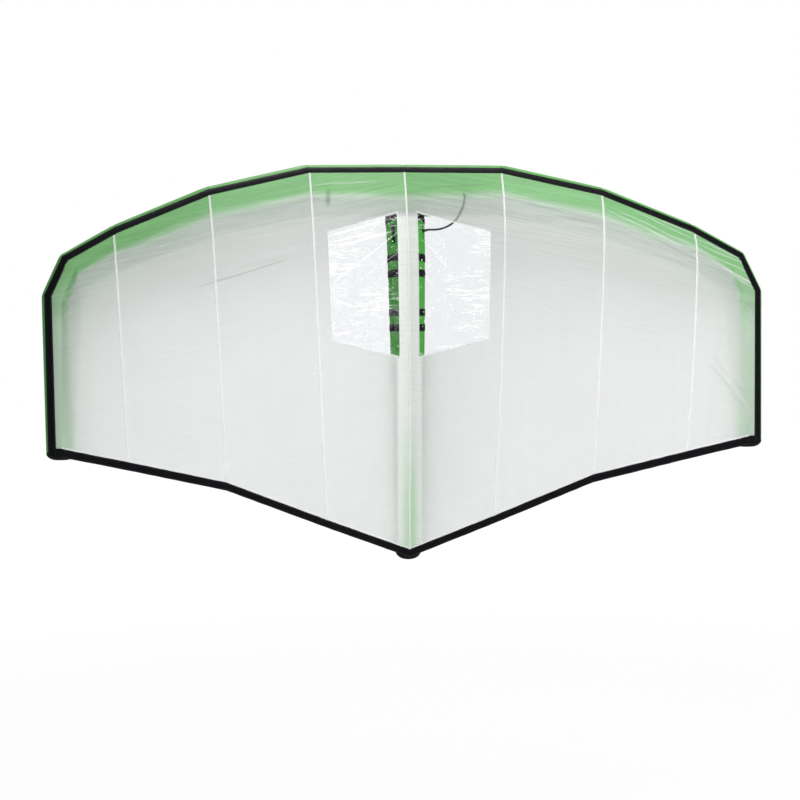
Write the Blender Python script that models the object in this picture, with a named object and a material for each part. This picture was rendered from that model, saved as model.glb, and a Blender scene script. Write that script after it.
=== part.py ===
# Inflatable hand wing for wing foiling, hung by its leash loop as it hangs on a hook.
# The leading edge is up, the trailing edge is down and the top of the canopy faces -Y.
# The origin is the inner top of the leash loop, where a hook carries the wing.
import math

import bmesh
import bpy
from mathutils import Vector

# Plan of the wing, measured on the axis of the leading edge tube
axis_half_span = 1.522
centre_chord = 1.667
tip_lead = 0.33

# Leading edge: places along the half span and the chord, and how far the taper has gone
le_station_shares = (
    (0.0, 0.0, 0.0),
    (0.295, 0.010, 0.08),
    (0.572, 0.073, 0.22),
    (0.825, 0.172, 0.40),
    (0.952, 0.238, 0.55),
    (0.993, 0.315, 0.67),
    (1.0, 0.714, 1.0),
)
le_centre_radius = 0.120
le_tip_radius = 0.060
tip_cap_depth = 0.022

# Trailing edge: the foot of each seam along the half span and the chord
te_seam_shares = ((0.0, 1.0), (0.263, 0.908), (0.553, 0.797), (0.822, 0.736))
te_tip_station_share = 5.958
te_stand = 0.095
hem_width = 0.034
hem_step_share = 0.01
hem_proud = 0.001

# Canopy: depth of the curve at the centre seam and its share at the outer seams
canopy_camber = 0.120
seam_camber_shares = (1.0, 1.05, 0.90, 0.62)
seam_outward_shift = (0.0, 0.0, 0.010, 0.034)
camber_peak_share = 0.24
leave_degrees = (60.0, 60.0, 60.0, 68.0, 88.0, 90.0, 90.0)
band_start_degrees = (36.0, 36.0, 35.0, 33.0, 31.0, 30.0, 30.0)
band_width = 0.042

# Cloth stand-ins, thicker than the real cloth so that they stay solid
canopy_wall = 0.0010
sleeve_wall = 0.0012
bladder_wall = 0.0006
film_wall = 0.0005
band_wall = 0.0010
webbing_wall = 0.0008

# Clearances between pieces that lie against each other
seam_gap = 0.0003
lay_gap = 0.0006
bladder_gap = 0.0016

# Windows in the two inner panels: sides as shares of the panel, top and bottom as shares of the chord
window_side_shares = (0.105, 0.85)
window_top_shares = (0.110, 0.176)
window_bottom_shares = (0.493, 0.476)

# Strut along the centre, under the canopy
strut_front_radius = 0.0925
strut_end_radius = 0.0625
strut_gap = 0.0016
strut_overhang = 0.015
strut_cap_depth = 0.045
strut_cap_flat = 0.046

# Hand loops on the strut, with the two bands that hold each of them
handle_count = 5
first_band_drop = 0.163
handle_span = 0.174
handle_step = 0.2427
strut_band_width = 0.031
tab_length = 0.010
handle_axis_height = 0.012
handle_rise = 0.056
grip_width = 0.034
grip_thickness = 0.026
strap_width = 0.018
strap_thickness = 0.005
handle_end_gap = 0.0008

# Front handle on the back of the leading edge
front_handle_span = 0.180
front_patch_margin = 0.030
front_handle_droop_degrees = 35.0

# Leash loop, which carries the wing
loop_width = 0.025
loop_webbing = 0.0025
loop_opening = 0.018
loop_degrees = -45.0

# Inflation valve on the back of the left inner segment
valve_station_share = 0.85
valve_degrees = -101.25
valve_flange_radius = 0.022
valve_flange_wall = 0.002
valve_body_radius = 0.013
valve_bore_radius = 0.009
valve_body_height = 0.014
valve_hole_radius = 0.024
valve_guide_radius = 0.003
valve_stem_radius = 0.0015
valve_spoke_width = 0.002
valve_seat_depth = 0.004
poppet_travel = 0.005
poppet_wall = 0.0015
cap_gap = 0.0008
cap_wall = 0.0016
cap_skirt = 0.005
cap_hinge_offset = 0.0045

# Hose that fills the strut from the leading edge
hose_radius = 0.0045
fitting_flange_radius = 0.011
fitting_flange_wall = 0.002
fitting_turret_radius = 0.007
fitting_turret_height = 0.012
fitting_barb_radius = 0.0055
fitting_barb_length = 0.018
fitting_stub_radius = 0.004
fitting_stub_depth = 0.006
le_fitting_station_share = 0.625
le_fitting_degrees = 90.0
strut_fitting_drop = 0.218
strut_fitting_degrees = 60.0
hose_route_shares = (
    (-0.047, 0.10, 0.050),
    (-0.017, 0.25, 0.080),
    (0.030, 0.42, 0.105),
    (0.104, 0.55, 0.115),
    (0.195, 0.71, 0.115),
    (0.320, 0.83, 0.105),
    (0.434, 0.91, 0.090),
    (0.693, 1.00, 0.065),
)

# Zips that let the bladders in
zip_width_share = 0.8
zip_wall = 0.0012
strut_zip_drop = 0.195
strut_zip_length = 0.080
strut_zip_degrees = -45.0
le_zip_length = 0.280
le_zip_station_share = 1.5
le_zip_degrees = -90.0
slider_length = 0.012
slider_width = 0.008
slider_height = 0.004
puller_length = 0.022

# How finely the round and curved forms are divided
tube_sides = 24
bladder_sides = 16
round_sides = 20
hose_steps = 14
strip_steps = 4
row_shares = (0.0, 0.035, 0.07, 0.11, 0.19, 0.29, 0.39, 0.493, 0.60, 0.70, 0.80, 0.90, 1.0)
window_top_row = 3
window_bottom_row = 7
inner_column_shares = (0.0, 0.105, 0.35, 0.60, 0.85, 1.0)
panel_column_shares = (0.0, 0.25, 0.5, 0.75, 1.0)
tip_column_shares = (0.0, 0.125, 0.25, 0.375, 0.5, 0.75, 1.0)

cell_angle = 2 * math.pi / tube_sides
side_angles = [cell_angle * (k + 0.5) for k in range(tube_sides)]
bladder_angles = [2 * math.pi * k / bladder_sides for k in range(bladder_sides)]

X = Vector((1, 0, 0))
Y = Vector((0, 1, 0))
Z = Vector((0, 0, 1))
plan_length = math.hypot(axis_half_span, tip_lead)
lateral = Vector((axis_half_span, -tip_lead, 0)) / plan_length
canopy_up = Vector((-tip_lead, -axis_half_span, 0)) / plan_length


def clear_scene():
    for item in list(bpy.data.objects):
        bpy.data.objects.remove(item)


def material(name, colour, roughness, metallic=0.0, alpha=1.0):
    made = bpy.data.materials.new(name)
    made.use_nodes = True
    shader = made.node_tree.nodes["Principled BSDF"]
    shader.inputs["Base Color"].default_value = (*colour, 1.0)
    shader.inputs["Roughness"].default_value = roughness
    shader.inputs["Metallic"].default_value = metallic
    shader.inputs["Alpha"].default_value = alpha
    return made


def mirrored(point, side):
    return Vector((side * point.x, point.y, point.z))


def mix(a, b, share):
    return a + (b - a) * share


def link(name, bm, finish, origin=None, smooth=True):
    """Turn a bmesh into an object whose origin sits at the given point."""
    if bm.calc_volume(signed=True) < 0:
        bmesh.ops.reverse_faces(bm, faces=bm.faces)
    origin = origin or Vector((0, 0, 0))
    bmesh.ops.translate(bm, verts=bm.verts, vec=-origin)
    mesh = bpy.data.meshes.new(name)
    bm.to_mesh(mesh)
    bm.free()
    if smooth:
        mesh.shade_smooth()
        mesh.set_sharp_from_angle(angle=math.radians(40))
    made = bpy.data.objects.new(name, mesh)
    made.location = origin
    made.data.materials.append(finish)
    bpy.context.collection.objects.link(made)
    return made


def boolean(target, tool, operation):
    """Cut or join two closed objects and drop the tool."""
    bpy.context.view_layer.update()
    change = target.modifiers.new("shape", "BOOLEAN")
    change.operation = operation
    change.solver = "EXACT"
    change.object = tool
    view = bpy.context.evaluated_depsgraph_get()
    finished = bpy.data.meshes.new_from_object(target.evaluated_get(view))
    target.modifiers.remove(change)
    target.data = finished
    bpy.data.objects.remove(tool)


# Skins: sheets of cloth with a wall


def grid_faces(grid, wrap=False, keep=None):
    """Quads of a grid of (outer, inner) pairs, without the cells that keep leaves out."""
    faces = []
    columns = len(grid[0])
    for i in range(len(grid) - 1):
        for j in range(columns if wrap else columns - 1):
            if keep and not keep(i, j):
                continue
            after = (j + 1) % columns
            faces.append([grid[i][j], grid[i][after], grid[i + 1][after], grid[i + 1][j]])
    return faces


def pole_faces(ring, pole, at_start):
    """Triangles that close a ring of (outer, inner) pairs at a pole."""
    faces = []
    for j, pair in enumerate(ring):
        after = ring[(j + 1) % len(ring)]
        faces.append([pole, after, pair] if at_start else [pole, pair, after])
    return faces


def skin(name, faces, finish, raised=None, origin=None):
    """Closed solid between the outer and the inner points of the faces, with rims round its edges.

    raised maps the index of a face to a vector by which its outer side is pulled out.
    """
    bm = bmesh.new()
    made = {}
    raised = raised or {}

    def vertex(layer, pair):
        key = (layer, *(round(c, 6) for c in pair[layer]))
        if key not in made:
            made[key] = bm.verts.new(pair[layer])
        return made[key]

    def triangles(corners):
        for k in range(1, len(corners) - 1):
            bm.faces.new((corners[0], corners[k], corners[k + 1]))

    edges = {}
    for index, pairs in enumerate(faces):
        outer = [vertex(0, pair) for pair in pairs]
        inner = [vertex(1, pair) for pair in pairs]
        for k in range(len(pairs)):
            after = (k + 1) % len(pairs)
            edges[outer[k], outer[after]] = (inner[k], inner[after])
        for k in range(1, len(inner) - 1):
            bm.faces.new((inner[k + 1], inner[k], inner[0]))
        if index in raised:
            top = [bm.verts.new(corner.co + raised[index]) for corner in outer]
            for k in range(len(outer)):
                after = (k + 1) % len(outer)
                triangles((outer[k], outer[after], top[after], top[k]))
            outer = top
        triangles(outer)
    for (a, b), (c, d) in edges.items():
        if (b, a) not in edges:
            triangles((b, a, c, d))
    return link(name, bm, finish, origin)


def rings_solid(name, rings, finish, origin=None):
    """Closed solid through rings of points, with flat ends."""
    bm = bmesh.new()
    rows = [[bm.verts.new(point) for point in ring] for ring in rings]
    for row, after in zip(rows, rows[1:]):
        for k in range(len(row)):
            n = (k + 1) % len(row)
            bm.faces.new((row[k], row[n], after[n], after[k]))
    bm.faces.new(list(reversed(rows[0])))
    bm.faces.new(rows[-1])
    return link(name, bm, finish, origin)


def frame_of(axis):
    """Two directions square to an axis."""
    axis = axis.normalized()
    helper = X if abs(axis.x) < math.cos(math.pi / 4) else Z
    first = (helper - axis * helper.dot(axis)).normalized()
    return first, axis.cross(first)


def lathe(name, profile, base, axis, finish, origin=None, sides=round_sides):
    """Turned solid from (radius, height) points, closed on itself or at the axis."""
    axis = axis.normalized()
    first, second = frame_of(axis)
    bm = bmesh.new()
    rows = []
    for radius, height in profile:
        if radius == 0:
            rows.append([bm.verts.new(base + axis * height)])
            continue
        row = []
        for k in range(sides):
            turn = 2 * math.pi * k / sides
            spoke = first * math.cos(turn) + second * math.sin(turn)
            row.append(bm.verts.new(base + axis * height + spoke * radius))
        rows.append(row)
    closed = len(rows[0]) > 1 and len(rows[-1]) > 1
    pairs = list(zip(rows, rows[1:])) + ([(rows[-1], rows[0])] if closed else [])
    for low, high in pairs:
        for k in range(sides):
            n = (k + 1) % sides
            ring = [low[k % len(low)], low[n % len(low)], high[n % len(high)], high[k % len(high)]]
            corners = list(dict.fromkeys(ring))
            bm.faces.new(corners)
    bmesh.ops.recalc_face_normals(bm, faces=bm.faces)
    return link(name, bm, finish, origin)


def prism(name, outline, hole, half_width, finish, origin=None):
    """Solid of an outline with a hole of as many points, pulled both ways along X."""
    bm = bmesh.new()
    loops = []
    for points in (outline, hole):
        for side in (-1, 1):
            loops.append([bm.verts.new(point + X * side * half_width) for point in points])
    count = len(outline)
    for k in range(count):
        n = (k + 1) % count
        bm.faces.new((loops[0][k], loops[0][n], loops[1][n], loops[1][k]))
        bm.faces.new((loops[3][k], loops[3][n], loops[2][n], loops[2][k]))
        bm.faces.new((loops[0][n], loops[0][k], loops[2][k], loops[2][n]))
        bm.faces.new((loops[1][k], loops[1][n], loops[3][n], loops[3][k]))
    bmesh.ops.recalc_face_normals(bm, faces=bm.faces)
    return link(name, bm, finish, origin)


class Tube:
    """Rings along a path; between two rings the wall is straight."""

    def __init__(self, rings):
        self.rings = rings

    def ring_point(self, index, angle, lift):
        centre, across, up, radius = self.rings[index]
        return centre + (across * math.cos(angle) + up * math.sin(angle)) * (radius + lift)

    def split(self, station):
        low = min(max(int(math.floor(station)), 0), len(self.rings) - 2)
        return low, station - low

    def point(self, station, angle, lift=0.0):
        low, share = self.split(station)
        return mix(self.ring_point(low, angle, lift), self.ring_point(low + 1, angle, lift), share)

    def centre(self, station):
        low, share = self.split(station)
        return mix(self.rings[low][0], self.rings[low + 1][0], share)

    def radius(self, station):
        low, share = self.split(station)
        return mix(self.rings[low][3], self.rings[low + 1][3], share)

    def length(self, low):
        return (self.rings[low + 1][0] - self.rings[low][0]).length

    def direction(self, station):
        low, _ = self.split(station)
        return (self.rings[low + 1][0] - self.rings[low][0]).normalized()

    def station_at_drop(self, drop):
        """Station where the axis lies the given distance below the leading edge axis."""
        depth = le_centre.z - drop
        for low in range(len(self.rings) - 1):
            high, deep = self.rings[low][0].z, self.rings[low + 1][0].z
            if deep <= depth <= high or low == len(self.rings) - 2:
                return low + (high - depth) / (high - deep)


def leading_edge(middle):
    """Right half of the leading edge tube, with mitred rings at its kinks."""
    centres = []
    for x_share, z_share, _ in le_station_shares:
        spot = Vector((x_share * axis_half_span, -x_share * tip_lead, -z_share * centre_chord))
        centres.append(middle + spot)
    runs = [(b - a).normalized() for a, b in zip(centres, centres[1:])]
    rings = []
    for index, centre in enumerate(centres):
        run = runs[min(index, len(runs) - 1)]
        before = runs[max(index - 1, 0)]
        plane = X if index == 0 else (run + before).normalized()
        outward = canopy_up.cross(run).normalized()
        across = outward - run * plane.dot(outward) / plane.dot(run)
        up = canopy_up - run * plane.dot(canopy_up) / plane.dot(run)
        taper = le_station_shares[index][2]
        rings.append((centre, across, up, mix(le_centre_radius, le_tip_radius, taper)))
    return Tube(rings)


def loop_frame(tube):
    """Foot of the leash loop on the middle of the tube, with its two directions."""
    edges = [math.radians(loop_degrees) + cell_angle / 2 * side for side in (-1, 1)]
    low, high = [tube.point(0, edge, lay_gap) for edge in edges]
    foot = mix(low, high, 0.5)
    along = (high - low).normalized()
    outward = X.cross(along)
    if outward.dot(foot - tube.centre(0)) < 0:
        outward = -outward
    return foot, along, outward


def centre_below_loop():
    """Middle of the tube, placed so that the inner top of the loop is the origin."""
    foot, _, outward = loop_frame(leading_edge(Vector((0, 0, 0))))
    return -(foot + outward * (loop_webbing + loop_opening))


le_centre = centre_below_loop()
le_tube = leading_edge(le_centre)
last_station = len(le_station_shares) - 1


def le_point(station, angle, lift=0.0):
    """Point on the leading edge tube; negative stations are on the left."""
    return mirrored(le_tube.point(abs(station), angle, lift), -1 if station < 0 else 1)


def facet_frame(tube_point, station, angle, lift, sides=tube_sides):
    """Point on the middle of a flat of a tube, with the direction that the flat faces."""
    half = math.pi / sides
    step = 0.01
    low = tube_point(station, angle - half, lift)
    high = tube_point(station, angle + half, lift)
    after = tube_point(station + step, angle + half, lift)
    before = tube_point(station - step, angle + half, lift)
    outward = (high - low).cross(after - before).normalized()
    opposite = tube_point(station, angle + math.pi, lift)
    point = mix(low, high, 0.5)
    return point, outward if outward.dot(point - opposite) > 0 else -outward


def between(table, station):
    low = min(int(station), len(table) - 2)
    return mix(table[low], table[low + 1], station - low)


def band_start_angle(station):
    return math.radians(between(band_start_degrees, station))


def band_end_angle(station):
    return band_start_angle(station) + (band_width + seam_gap) / le_tube.radius(station)


def leave_angle(station):
    return math.radians(between(leave_degrees, station))


# Canopy surface, right half


def mean_line(share):
    """Camber curve with its peak of 1 at the peak share."""
    p = camber_peak_share
    if share < p:
        return (2 * p * share - share * share) / (p * p)
    return (1 - 2 * p + 2 * p * share - share * share) / ((1 - p) * (1 - p))


def te_foot(seam):
    """Foot of a seam at the trailing edge."""
    x_share, z_share = te_seam_shares[seam]
    stand = mix(te_stand, le_tip_radius + lay_gap, x_share)
    spot = Vector((x_share * axis_half_span, -x_share * tip_lead, -z_share * centre_chord))
    return le_centre + spot + seam_up(seam) * stand


def seam_up(seam):
    return -Y if seam == 0 else canopy_up


def seam_side(seam):
    return X if seam == 0 else lateral


def seam_point(seam, share):
    top = le_tube.point(seam, leave_angle(seam), lay_gap)
    depth = canopy_camber * seam_camber_shares[seam] * mean_line(share)
    shift = seam_outward_shift[seam] * min(share / row_shares[3], 1.0) * (1 - share)
    return mix(top, te_foot(seam), share) - Y * depth + X * shift


def tip_corner():
    return le_tube.point(te_tip_station_share, math.pi / 2, lay_gap)


def canopy_point(panel, u, v):
    """Rear face of the canopy at a share of the panel's width and of its chord."""
    if panel < 3:
        return mix(seam_point(panel, v), seam_point(panel + 1, v), u)
    station = 3 + 2 * u
    top = le_tube.point(station, leave_angle(station), lay_gap)
    foot = mix(te_foot(3), tip_corner(), u)
    left = seam_point(3, v) - mix(seam_point(3, 0), te_foot(3), v)
    return mix(top, foot, v) + left * (1 - u)


def window_edge(u, shares):
    low, high = window_side_shares
    return mix(shares[0], shares[1], min(max((u - low) / (high - low), 0.0), 1.0))


def chord_share(panel, u, row):
    """Chord share of a row; in the inner panels the rows bend round the window."""
    share = row_shares[row]
    if panel > 0:
        return share
    top = window_edge(u, window_top_shares)
    bottom = window_edge(u, window_bottom_shares)
    knots = (0.0, row_shares[window_top_row], row_shares[window_bottom_row], 1.0)
    values = (0.0, top, bottom, 1.0)
    for a, b, c, d in zip(knots, knots[1:], values, values[1:]):
        if share <= b:
            return mix(c, d, (share - a) / (b - a))
    return 1.0


def canopy_normal(panel, u, v):
    step = 0.01
    down = canopy_point(panel, u, min(v + step, 1)) - canopy_point(panel, u, max(v - step, 0))
    if u in (0.0, 1.0) and not (panel == 3 and u == 1.0):
        across = seam_side(panel + int(u))
    else:
        across = canopy_point(panel, min(u + step, 1), v) - canopy_point(panel, max(u - step, 0), v)
    normal = across.cross(down).normalized()
    return normal if normal.dot(canopy_up) > 0 else -normal


def canopy_pair(panel, u, v, lifts):
    base = canopy_point(panel, u, v)
    normal = canopy_normal(panel, u, v)
    return [base + normal * lift for lift in lifts]


def strip_pair(station, k, lifts):
    """Pair on the tube between the seam band and the line where the canopy leaves it."""
    angle = mix(band_end_angle(station), leave_angle(station), k / strip_steps)
    return [le_tube.point(station, angle, lay_gap + lift) for lift in lifts]


def trimmed(pair, panel, u):
    """Draws a panel edge back from its seam by half the seam gap."""
    if u == 0.0:
        return [point + seam_side(panel) * seam_gap / 2 for point in pair]
    if u == 1.0 and panel < 3:
        return [point - seam_side(panel + 1) * seam_gap / 2 for point in pair]
    return pair


def panel_grid(panel, columns, lifts):
    """Rows from the seam band down to the trailing edge, with the strip on the tube first."""
    span = 1 if panel < 3 else 2
    grid = []
    for k in range(strip_steps + 1):
        grid.append([trimmed(strip_pair(panel + span * u, k, lifts), panel, u) for u in columns])
    for row in range(1, len(row_shares)):
        line = []
        for u in columns:
            v = chord_share(panel, u, row)
            line.append(trimmed(canopy_pair(panel, u, v, lifts), panel, u))
        grid.append(line)
    return grid


def tip_side_grid(edge, lifts):
    """Strip of the tip panel that lies on the tip tube, out from the panel's side edge."""
    grid = []
    for row, share in enumerate(row_shares):
        station = mix(5.0, te_tip_station_share, share)
        line = [edge[row]]
        for k in range(strip_steps - 1, -1, -1):
            line.append(strip_pair(station, k, lifts))
        grid.append(line)
    return grid


def mirror_faces(faces, side):
    return [[[mirrored(point, side) for point in pair] for pair in face] for face in faces]


def in_window(row, column):
    low = inner_column_shares.index(window_side_shares[0])
    high = inner_column_shares.index(window_side_shares[1])
    first = strip_steps + window_top_row
    last = strip_steps + window_bottom_row
    return first <= row < last and low <= column < high


def canopy_panel(panel, side, name, finish):
    lifts = (canopy_wall, 0.0)
    if panel == 0:
        grid = panel_grid(0, inner_column_shares, lifts)
        faces = grid_faces(grid, keep=lambda i, j: not in_window(i, j))
    else:
        columns = tip_column_shares if panel == 3 else panel_column_shares
        grid = panel_grid(panel, columns, lifts)
        faces = grid_faces(grid)
    if panel == 3:
        edge = [grid[strip_steps + row][-1] for row in range(len(row_shares))]
        faces += grid_faces(tip_side_grid(edge, lifts))
    return skin(name, mirror_faces(faces, side), finish)


def window_film(side, name, finish):
    """Clear film that fills a window, with the seam gap all round."""
    lifts = (film_wall, 0.0)
    columns = [u for u in inner_column_shares if window_side_shares[0] <= u <= window_side_shares[1]]
    rows = range(window_top_row, window_bottom_row + 1)
    grid = []
    for row in rows:
        line = []
        for u in columns:
            pair = canopy_pair(0, u, chord_share(0, u, row), lifts)
            shift = Vector((0, 0, 0))
            if row == window_top_row:
                shift -= Z * seam_gap * 2
            if row == window_bottom_row:
                shift += Z * seam_gap * 2
            if u == columns[0]:
                shift += X * seam_gap
            if u == columns[-1]:
                shift -= X * seam_gap
            line.append([point + shift for point in pair])
        grid.append(line)
    return skin(name, mirror_faces(grid_faces(grid), side), finish)


def trailing_hem(side, name, finish):
    """Webbing hem below the trailing edge, from the centre to the tip."""
    lifts = (canopy_wall + hem_proud, 0.0)
    stops = [(0, u) for u in inner_column_shares]
    stops += [(panel, u) for panel in (1, 2) for u in panel_column_shares[1:]]
    stops += [(3, u) for u in tip_column_shares[1:]]
    rows = ([], [])
    for panel, u in stops:
        tangent = canopy_point(panel, u, 1.0) - canopy_point(panel, u, 1.0 - hem_step_share)
        drop = tangent / abs(tangent.z)
        pair = canopy_pair(panel, u, 1.0, lifts)
        if (panel, u) == (0, 0.0):
            pair = trimmed(pair, 0, 0.0)
        rows[0].append([point + drop * seam_gap * 1.5 for point in pair])
        rows[1].append([point + drop * (seam_gap * 1.5 + hem_width) for point in pair])
    return skin(name, mirror_faces(grid_faces(rows), side), finish)


# Leading edge pieces


def tube_grid(stations, angles, lifts, point=le_point):
    return [[[point(t, a, lift) for lift in lifts] for a in angles] for t in stations]


def le_segment(index, side, name, finish):
    trim = seam_gap / 2 / le_tube.length(index)
    stations = [side * (index + trim), side * (index + 1 - trim)]
    grid = tube_grid(stations, side_angles, (0.0, -sleeve_wall))
    return skin(name, grid_faces(grid, wrap=True), finish)


def le_bladder(finish):
    """Airtight bladder from tip to tip, closed at both ends and open at its valve."""
    lifts = (-sleeve_wall - bladder_gap, -sleeve_wall - bladder_gap - bladder_wall)
    stations = [float(t) for t in range(-last_station, last_station + 1)]
    grid = tube_grid(stations, bladder_angles, lifts)
    end = le_tube.centre(last_station)
    run = le_tube.direction(last_station - 1)
    pole = [end, end - run * bladder_wall]
    faces = pole_faces(grid[0], [mirrored(p, -1) for p in pole], True)
    faces += grid_faces(grid, wrap=True)
    faces += pole_faces(grid[-1], pole, False)
    return skin("le_bladder", faces, finish)


def seam_band(side, name, finish):
    """Webbing band that covers the seam of canopy and tube."""
    trim = seam_gap / 2 / le_tube.length(0)
    stations = [trim] + [float(t) for t in range(1, last_station)] + [last_station - trim]
    grid = []
    steps = 2 * strip_steps
    for t in stations:
        start = band_start_angle(t)
        end = start + band_width / le_tube.radius(t)
        line = []
        for k in range(steps + 1):
            angle = mix(start, end, k / steps)
            line.append([le_tube.point(t, angle, lay_gap + lift) for lift in (band_wall, 0.0)])
        grid.append(line)
    return skin(name, mirror_faces(grid_faces(grid), side), finish)


def dome_faces(ring, centre, axis, depth, flat_share, wall):
    """Faces of a domed end that grows from a ring of (outer, inner) pairs."""
    steps = 4
    rows = [ring]
    for k in range(1, steps + 1):
        turn = math.pi / 2 * k / steps
        size = flat_share + (1 - flat_share) * math.cos(turn)
        push = depth * math.sin(turn)
        line = []
        for outer, inner in ring:
            line.append([
                centre + (outer - centre) * size + axis * push,
                centre + (inner - centre) * size + axis * (push - wall * math.sin(turn)),
            ])
        rows.append(line)
    pole = [centre + axis * depth, centre + axis * (depth - wall)]
    return grid_faces(rows, wrap=True) + pole_faces(rows[-1], pole, False)


def tip_cap(side, name, finish):
    """Domed cloth end of the tip tube."""
    run = le_tube.direction(last_station - 1)
    shift = run * seam_gap
    ring = []
    for angle in side_angles:
        outer = le_tube.point(last_station, angle) + shift
        inner = le_tube.point(last_station, angle, -sleeve_wall) + shift
        ring.append([outer, inner])
    centre = le_tube.centre(last_station) + shift
    faces = dome_faces(ring, centre, run, tip_cap_depth, 0.3, sleeve_wall)
    return skin(name, mirror_faces(faces, side), finish)


# Strut


def strut_path():
    """Rings of the strut: it leaves the leading edge and then lies along the centre seam."""
    shares = row_shares[window_top_row:]
    rings = []
    for share in shares:
        v = chord_share(0, 0.0, row_shares.index(share))
        radius = mix(strut_front_radius, strut_end_radius, v)
        normal = canopy_normal(0, 0.0, v)
        centre = seam_point(0, v) - normal * (radius + strut_gap)
        rings.append((centre, normal, X, radius))
    run = (rings[0][0] - le_centre).normalized()
    front = run.cross(X).normalized()
    front = front if front.y < 0 else -front
    rings.insert(0, (le_centre.copy(), front, X, strut_front_radius))
    centre, normal, _, radius = rings[-1]
    along = (seam_point(0, 1.0) - seam_point(0, 0.95)).normalized()
    rings.append((centre + along * strut_overhang, normal, X, radius))
    return Tube(rings)


strut = strut_path()
strut_end = len(strut.rings) - 1


def strut_point(station, angle, lift=0.0):
    return strut.point(station, angle, lift)


def le_cutter(reach):
    """Solid of the middle of the leading edge with a clearance round it."""
    stations = [-reach, 0.0, reach]
    rings = [[le_point(t, a, lay_gap) for a in side_angles] for t in stations]
    return rings_solid("le_cutter", rings, None)


def strut_sleeve(finish):
    grid = tube_grid(range(strut_end + 1), side_angles, (0.0, -sleeve_wall), strut_point)
    sleeve = skin("strut_sleeve", grid_faces(grid, wrap=True), finish)
    boolean(sleeve, le_cutter(0.6), "DIFFERENCE")
    return sleeve


def strut_bladder(finish):
    """Bladder of the strut, closed at both ends and open at its hose fitting."""
    lifts = (-sleeve_wall - bladder_gap, -sleeve_wall - bladder_gap - bladder_wall)
    start = strut.station_at_drop(first_band_drop + strut_band_width)
    stations = [start] + [float(t) for t in range(math.ceil(start), strut_end)] + [strut_end - 0.5]
    grid = tube_grid(stations, bladder_angles, lifts, strut_point)
    faces = []
    for ring, station, at_start in ((grid[0], start, True), (grid[-1], strut_end - 0.5, False)):
        inward = strut.direction(station) * (1 if at_start else -1)
        pole = [strut.centre(station), strut.centre(station) + inward * bladder_wall]
        faces += pole_faces(ring, pole, at_start)
    faces += grid_faces(grid, wrap=True)
    return skin("strut_bladder", faces, finish)


def strut_end_cap(finish):
    centre, normal, _, radius = strut.rings[-1]
    axis = X.cross(normal)
    axis = axis if axis.z < 0 else -axis
    shift = axis * seam_gap
    ring = []
    for angle in side_angles:
        outer = strut_point(strut_end, angle) + shift
        inner = strut_point(strut_end, angle, -sleeve_wall) + shift
        ring.append([outer, inner])
    flat_share = strut_cap_flat / 2 / radius
    faces = dome_faces(ring, centre + shift, axis, strut_cap_depth, flat_share, sleeve_wall)
    return skin("strut_end_cap", faces, finish)


# Hand loops


def angle_list(middle, cells):
    """Edges of a run of tube cells round the middle one."""
    start = middle - cell_angle * cells / 2
    return [start + cell_angle * k for k in range(cells + 1)]


def handle_harness(index, finish):
    """Two bands round the strut, joined by a patch, with a tab at each end of the hand loop."""
    top = first_band_drop + handle_step * index
    half = strut_band_width / 2
    drops = [top - half, top + half - tab_length, top + half]
    drops += [top + handle_span - half, top + handle_span - half + tab_length, top + handle_span + half]
    stations = [strut.station_at_drop(drop) for drop in drops]
    kinks = []
    for t in range(math.ceil(stations[0]), math.ceil(stations[5])):
        in_tab = stations[1] < t < stations[2] or stations[3] < t < stations[4]
        if not in_tab and float(t) not in stations:
            kinks.append(float(t))
    rows = sorted(stations + kinks)
    gap = lay_gap - seam_gap / 2
    grid = tube_grid(rows, side_angles, (gap + webbing_wall, gap), strut_point)
    rear = tube_sides // 2 - 1

    def keep(i, j):
        in_band = rows[i + 1] <= stations[2] or rows[i] >= stations[3]
        return in_band or abs(j - rear) <= 1

    faces = grid_faces(grid, wrap=True, keep=keep)
    height = handle_axis_height + strap_width / 2
    raised = {}
    for index_in_list, face in enumerate(faces):
        for row in (rows.index(stations[1]), rows.index(stations[3])):
            if face[0] is grid[row][rear]:
                outward = (face[0][0] - face[0][1]) + (face[1][0] - face[1][1])
                raised[index_in_list] = outward.normalized() * height
    return skin(f"handle_harness_{index + 1}", faces, finish, raised)


def handle_axis(index):
    """Ends of the line that a hand loop swings round, on the back of the strut."""
    top = first_band_drop + handle_step * index + strut_band_width / 2
    bottom = top + handle_span - strut_band_width
    lift = lay_gap + webbing_wall + handle_axis_height
    ends = []
    for drop in (top, bottom):
        ends.append(strut_point(strut.station_at_drop(drop), math.pi, lift))
    return ends


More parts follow.
